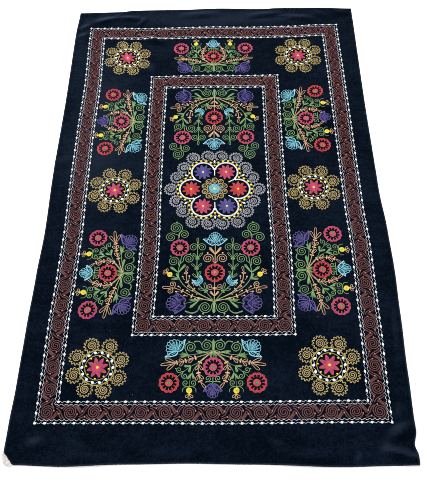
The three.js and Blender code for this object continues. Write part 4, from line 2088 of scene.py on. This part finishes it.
@dataclass(frozen=True)
class PanelSpray:
    """The large spray of the middle panel, which grows from the panel's end towards the medallion."""

    def draw(self, work: Needlework, spot: Spot) -> None:
        """Works the motifs on the spray's middle line, then its two sides.

        Args:
            work: The needlework.
            spot: Where the motif is worked.
        """
        draw_all(self.middle_line(), work, spot)
        sides = [*self.root_side(), *self.stem_side(), *self.copper_side()]
        draw_all(sides, work, spot, spot.mirror())

    @staticmethod
    def middle_line() -> list[Motif]:
        """Lists the motifs on the middle line.

        Returns:
            The motifs, in the order of their stitching.
        """
        copper = Thread.COPPER
        return [
            Leaf((0, 4), (0, -45), 11),
            Stem(((0, 0), (0, 40), (0, 84)), thread=copper),
            Bow((0, 57), 90),
            Poppy((0, 121), 39, Thread.RED, Thread.GOLD),
            Stem(((0, 158), (0, 200), (0, 242)), thread=copper),
            Tulip((0, 240), 90, Thread.TURQUOISE, reach=59, dome=28, point=0.2),
        ]

    @staticmethod
    def root_side() -> list[Motif]:
        """Lists what flanks the middle line on one side, and the curl, leaves and tulip at the root.

        Returns:
            The motifs, in the order of their stitching.
        """
        copper = Thread.COPPER
        return [
            Leaf((0, 24), (17, 44), 7, copper),
            Curl((18, 63), 9, 240, 1, ((1, 52), (8, 53)), copper, 7.0),
            Curl((28, 182), 17, 200, -1, ((1, 163), (8, 170)), copper),
            Bead((29, 206), (9, 7), copper, 90),
            Leaf((0, 199), (23, 231), 10, copper),
            Stem(((0, 0), (22, 11), (54, 8), (84, 0), (112, -6)), (5.4, 3.4, 2.4)),
            Curl((33, -20), 19.5, 190, 1, ((1, 2), (8, -12))),
            Bead((39, -46), (9, 7), heading=90),
            Stem(((54, -14), (60, -34), (80, -44), (106, -36)), (3.4, 6.0, 7.0)),
            Leaf((52, 9), (94, 9), 8),
            Leaf((58, 5), (90, -23), 9.5),
            Tulip(
                (107, -4), 0, Thread.PURPLE, reach=70, dome=32, spread=43, shoulder=36, scallops=7,
                line=3.6, point=0.0, heart=0.46,
            ),
        ]

    @staticmethod
    def stem_side() -> list[Motif]:
        """Lists the two green stems of one side with all that grows on them.

        Returns:
            The motifs, in the order of their stitching.
        """
        green = Thread.GREEN
        return [
            Stem(((4, 6), (40, 23), (70, 38), (105, 58), (132, 91), (139, 126), (133, 169), (129, 194))),
            Leaf((136, 97), (147, 119), 7.5),
            Leaf((135, 95), (167, 95), 7.5),
            Leaf((139, 122), (171, 147), 9),
            Leaf((139, 122), (113, 157), 9),
            Stem(((138, 99), (150, 102), (166, 110))),
            Bud((171, 115), 36),
            Curl((159, 170), 17, 190, -1, ((137, 150), (141, 160))),
            Bead((172, 193), (7, 6)),
            Curl((101, 181), 17, -20, 1, ((134, 160), (124, 170))),
            Bead((96, 202), (7, 6)),
            Poppy((138, 230), 37, Thread.PINK),
            Stem(((142, 266), (146, 284), (139, 303)), (2.6, 2.2)),
            Curl((122, 289), 16, -25, 1, ((145, 272), (141, 280))),
            Curl((175, 277), 17, 140, -1, ((146, 286), (154, 290))),
            Curl((155, 320), 21.5, 218, -1, ((145, 282), (139, 298))),
            Bead((152, 345), (8, 7), heading=90),
            Stem(((4, 6), (32, 42), (63, 72))),
            Bow((31, 43), 55, green),
            Loop((31, 44), (38, 79), 9, green),
            Loop((34, 46), (60, 55), 9, green),
            SmallTulip((65, 67)),
            Stem(((65, 98), (69, 140), (69, 190), (68, 246))),
            *(Bow(place, 90, green) for place in ((70, 137), (68, 180))),
            *(Loop((67, 100), tip, 8, green) for tip in ((84, 116), (54, 128))),
            *(Loop((70, 140), tip, 8, green) for tip in ((89, 159), (51, 161))),
            *(Loop((68, 183), tip, 8, green) for tip in ((86, 204), (49, 207))),
            Curl((84, 231), 13, 140, -1, ((68, 229), (69.5, 236))),
            Curl((52, 231), 13, 40, 1, ((68, 229), (66.5, 236))),
            Loop((68, 246), (69, 273), 9, green),
        ]

    @staticmethod
    def copper_side() -> list[Motif]:
        """Lists the copper sprigs of one side.

        Returns:
            The motifs, in the order of their stitching.
        """
        copper = Thread.COPPER
        return [
            Stem(((4, 3), (45, 13), (84, 25), (121, 45), (150, 58)), (3.4, 3.6, 2.8), copper),
            Leaf((40, 12), (66, 18), 5, copper),
            *(Bow(place, way) for place, way in (((84, 25), 22), ((121, 45), 28))),
            Sprouts((91, 29), ((112, 27), (103, 47))),
            Sprouts((126, 48), ((144, 43), (136, 64))),
            *(Bead(place, (6, 5), copper) for place in ((72, 14), (113, 27), (66, 32))),
            Curl((159, 73), 9, 230, -1, ((149, 57), (150, 62)), copper, 7.0),
            Curl((167, 46), 8.5, 130, 1, ((149, 57), (157, 57)), copper, 7.0),
            Loop((156, 59), (197, 61), 11),
            Stem(((4, 6), (45, 27), (79, 51), (103, 82), (110, 121)), thread=copper),
            *(Bow(place, way) for place, way in (((79, 51), 42), ((104, 83), 60), ((110, 120), 85))),
            Sprouts((83, 57), ((100, 65), (84, 78))),
            Sprouts((105, 88), ((122, 105), (97, 107))),
            Loop((110, 123), (105, 148), 9),
        ]


@dataclass(frozen=True)
class Embroidery:
    """All that is stitched on the cloth, and where."""

    borders: tuple[ScrollBorder, ...] = (
        ScrollBorder((3.0, -2.0), (601.5, 947.5)),
        ScrollBorder((4.2, -5.0), (293.5, 632.0)),
    )
    rosette: GoldRosette = GoldRosette()
    rosette_places: Table = ((-407, 747), (403, 748), (-409, -6), (414, -1), (-404, -757), (411, -752))
    medallion: Medallion = Medallion()
    medallion_place: Spot = Spot(6, -3)
    panel_sprays: tuple[Spot, ...] = (Spot(4, -508), Spot(4, 497, 270))
    red_spray: EndSpray = EndSpray(Thread.RED, Thread.PINK, Thread.PURPLE, Thread.TURQUOISE)
    pink_spray: EndSpray = EndSpray(Thread.PINK, Thread.RED, Thread.TURQUOISE, Thread.PURPLE)
    red_places: tuple[Spot, ...] = (Spot(2, 684, 90), Spot(-341, -387, 179.4), Spot(348, -379, 0.8))
    pink_places: tuple[Spot, ...] = (Spot(4, -691, 270), Spot(-344, 359, 178.5), Spot(347, 365, 1.2))

    def build(self, work: Needlework, groups: NodeGroups) -> list[Piece]:
        """Works every motif and makes the threads' meshes.

        Args:
            work: The needlework to stitch into.
            groups: The shared node groups.

        Returns:
            One piece for each thread.
        """
        for border in self.borders:
            border.draw(work)
        for x, y in self.rosette_places:
            self.rosette.draw(work, Spot(x, y))
        self.medallion.draw(work, self.medallion_place)
        for spot in self.panel_sprays:
            PanelSpray().draw(work, spot)
        for spray, places in ((self.red_spray, self.red_places), (self.pink_spray, self.pink_places)):
            for spot in places:
                spray.draw(work, spot)
        return work.build(groups)


# Floor, light and camera


@dataclass(frozen=True)
class Lamp:
    """A square soft light that faces the origin: its place and side in metres, and its power in watts."""

    name: str
    place: Point
    size: float
    power: float

    def hang(self) -> None:
        """Hangs the lamp."""
        light = bpy.data.lights.new(self.name, "AREA")
        light.size = self.size
        light.energy = self.power
        lamp = bpy.data.objects.new(self.name, light)
        lamp.location = self.place
        lamp.rotation_euler = (-Vector(self.place)).to_track_quat("-Z", "Y").to_euler()
        bpy.context.scene.collection.objects.link(lamp)


@dataclass(frozen=True)
class Studio:
    """A pale floor, soft light from above, and a camera at the cloth's foot looking down along it."""

    camera_place: Point = (0.0517, -1.3355, 1.9912)
    yaw: float = -2.68
    pitch: float = 62.21
    roll: float = -2.84
    focal_share: float = 576 / 500
    sensor: float = 36.0
    floor_size: float = 30.0
    floor_drop: float = 0.0005
    floor_colour: Colour = (246, 246, 246)
    floor_roughness: float = 0.9
    floor_grain: float = 260.0
    grain_depth: float = 0.00005
    sky_strength: float = 0.75
    lamps: tuple[Lamp, ...] = (
        Lamp("Key", (-1.6, 2.4, 3.2), size=2.6, power=190.0),
        Lamp("Fill", (1.8, -2.2, 3.4), size=3.2, power=60.0),
    )
    pixel_filter: float = 0.9

    def build(self) -> None:
        """Sets up the floor, the lights, the camera and the plain colour transform."""
        self.lay_floor()
        for lamp in self.lamps:
            lamp.hang()
        world = bpy.data.worlds.new("Studio")
        world.use_nodes = True
        sky = world.node_tree.nodes["Background"]
        sky.inputs["Color"].default_value = (1.0, 1.0, 1.0, 1.0)
        sky.inputs["Strength"].default_value = self.sky_strength
        bpy.context.scene.world = world
        bpy.context.scene.view_settings.view_transform = "Standard"
        bpy.context.scene.cycles.filter_width = self.pixel_filter
        bpy.context.scene.cycles.use_denoising = False
        self.set_camera()

    def lay_floor(self) -> None:
        """Lays the floor: one large pale quad just under the cloth."""
        half = self.floor_size / 2
        corners = np.array([(-half, -half), (half, -half), (half, half), (-half, half)])
        points = np.column_stack([corners, np.full(4, -self.floor_drop)])
        material, sheet = start_material("Pale floor")
        place = sheet.place()
        look = {"Base Color": linear_colour(self.floor_colour), "Roughness": self.floor_roughness}
        finish_material(sheet, look, sheet.noise(place, self.floor_grain), self.grain_depth)
        make_object("floor", points, [np.array([[0, 1, 2, 3]])], [material])

    def set_camera(self) -> None:
        """Places the camera: it looks along +Y, turned by the yaw, tipped down by the pitch, then rolled."""
        yaw, pitch, roll = (math.radians(angle) for angle in (self.yaw, self.pitch, self.roll))
        forward = Vector((math.sin(yaw) * math.cos(pitch), math.cos(yaw) * math.cos(pitch), -math.sin(pitch)))
        level = Vector((math.cos(yaw), -math.sin(yaw), 0))
        upright = level.cross(forward)
        right = math.cos(roll) * level + math.sin(roll) * upright
        up = math.cos(roll) * upright - math.sin(roll) * level
        camera = bpy.data.cameras.new("Camera")
        camera.sensor_width = self.sensor
        camera.lens = self.focal_share * self.sensor
        holder = bpy.data.objects.new("Camera", camera)
        turned = Matrix((right, up, -forward)).transposed().to_4x4()
        holder.matrix_world = Matrix.Translation(self.camera_place) @ turned
        bpy.context.scene.collection.objects.link(holder)
        bpy.context.scene.camera = holder


def main() -> None:
    """Loads the frame, builds the cloth, its tab, its embroidery and the studio, and notes the sizes."""
    logging.basicConfig(level=logging.INFO, format="%(name)s: %(message)s")
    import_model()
    drape = Drape()
    groups = NodeGroups()
    ground = VelvetCloth(drape)
    cloth = ground.build(groups)
    corner = CornerTab()
    tab = corner.build(groups)
    threads = Embroidery().build(Needlework(drape), groups)
    tab_width, tab_length = corner.flat_size()
    Studio().build()
    counts = {}
    for piece in (cloth, tab, *threads):
        counts[piece.name] = sum(len(polygon.vertices) - 2 for polygon in piece.data.polygons)
        LOG.info("%s: %d triangles", piece.name, counts[piece.name])
    LOG.info("in all: %d triangles", sum(counts.values()))


if __name__ == "__main__":
    main()
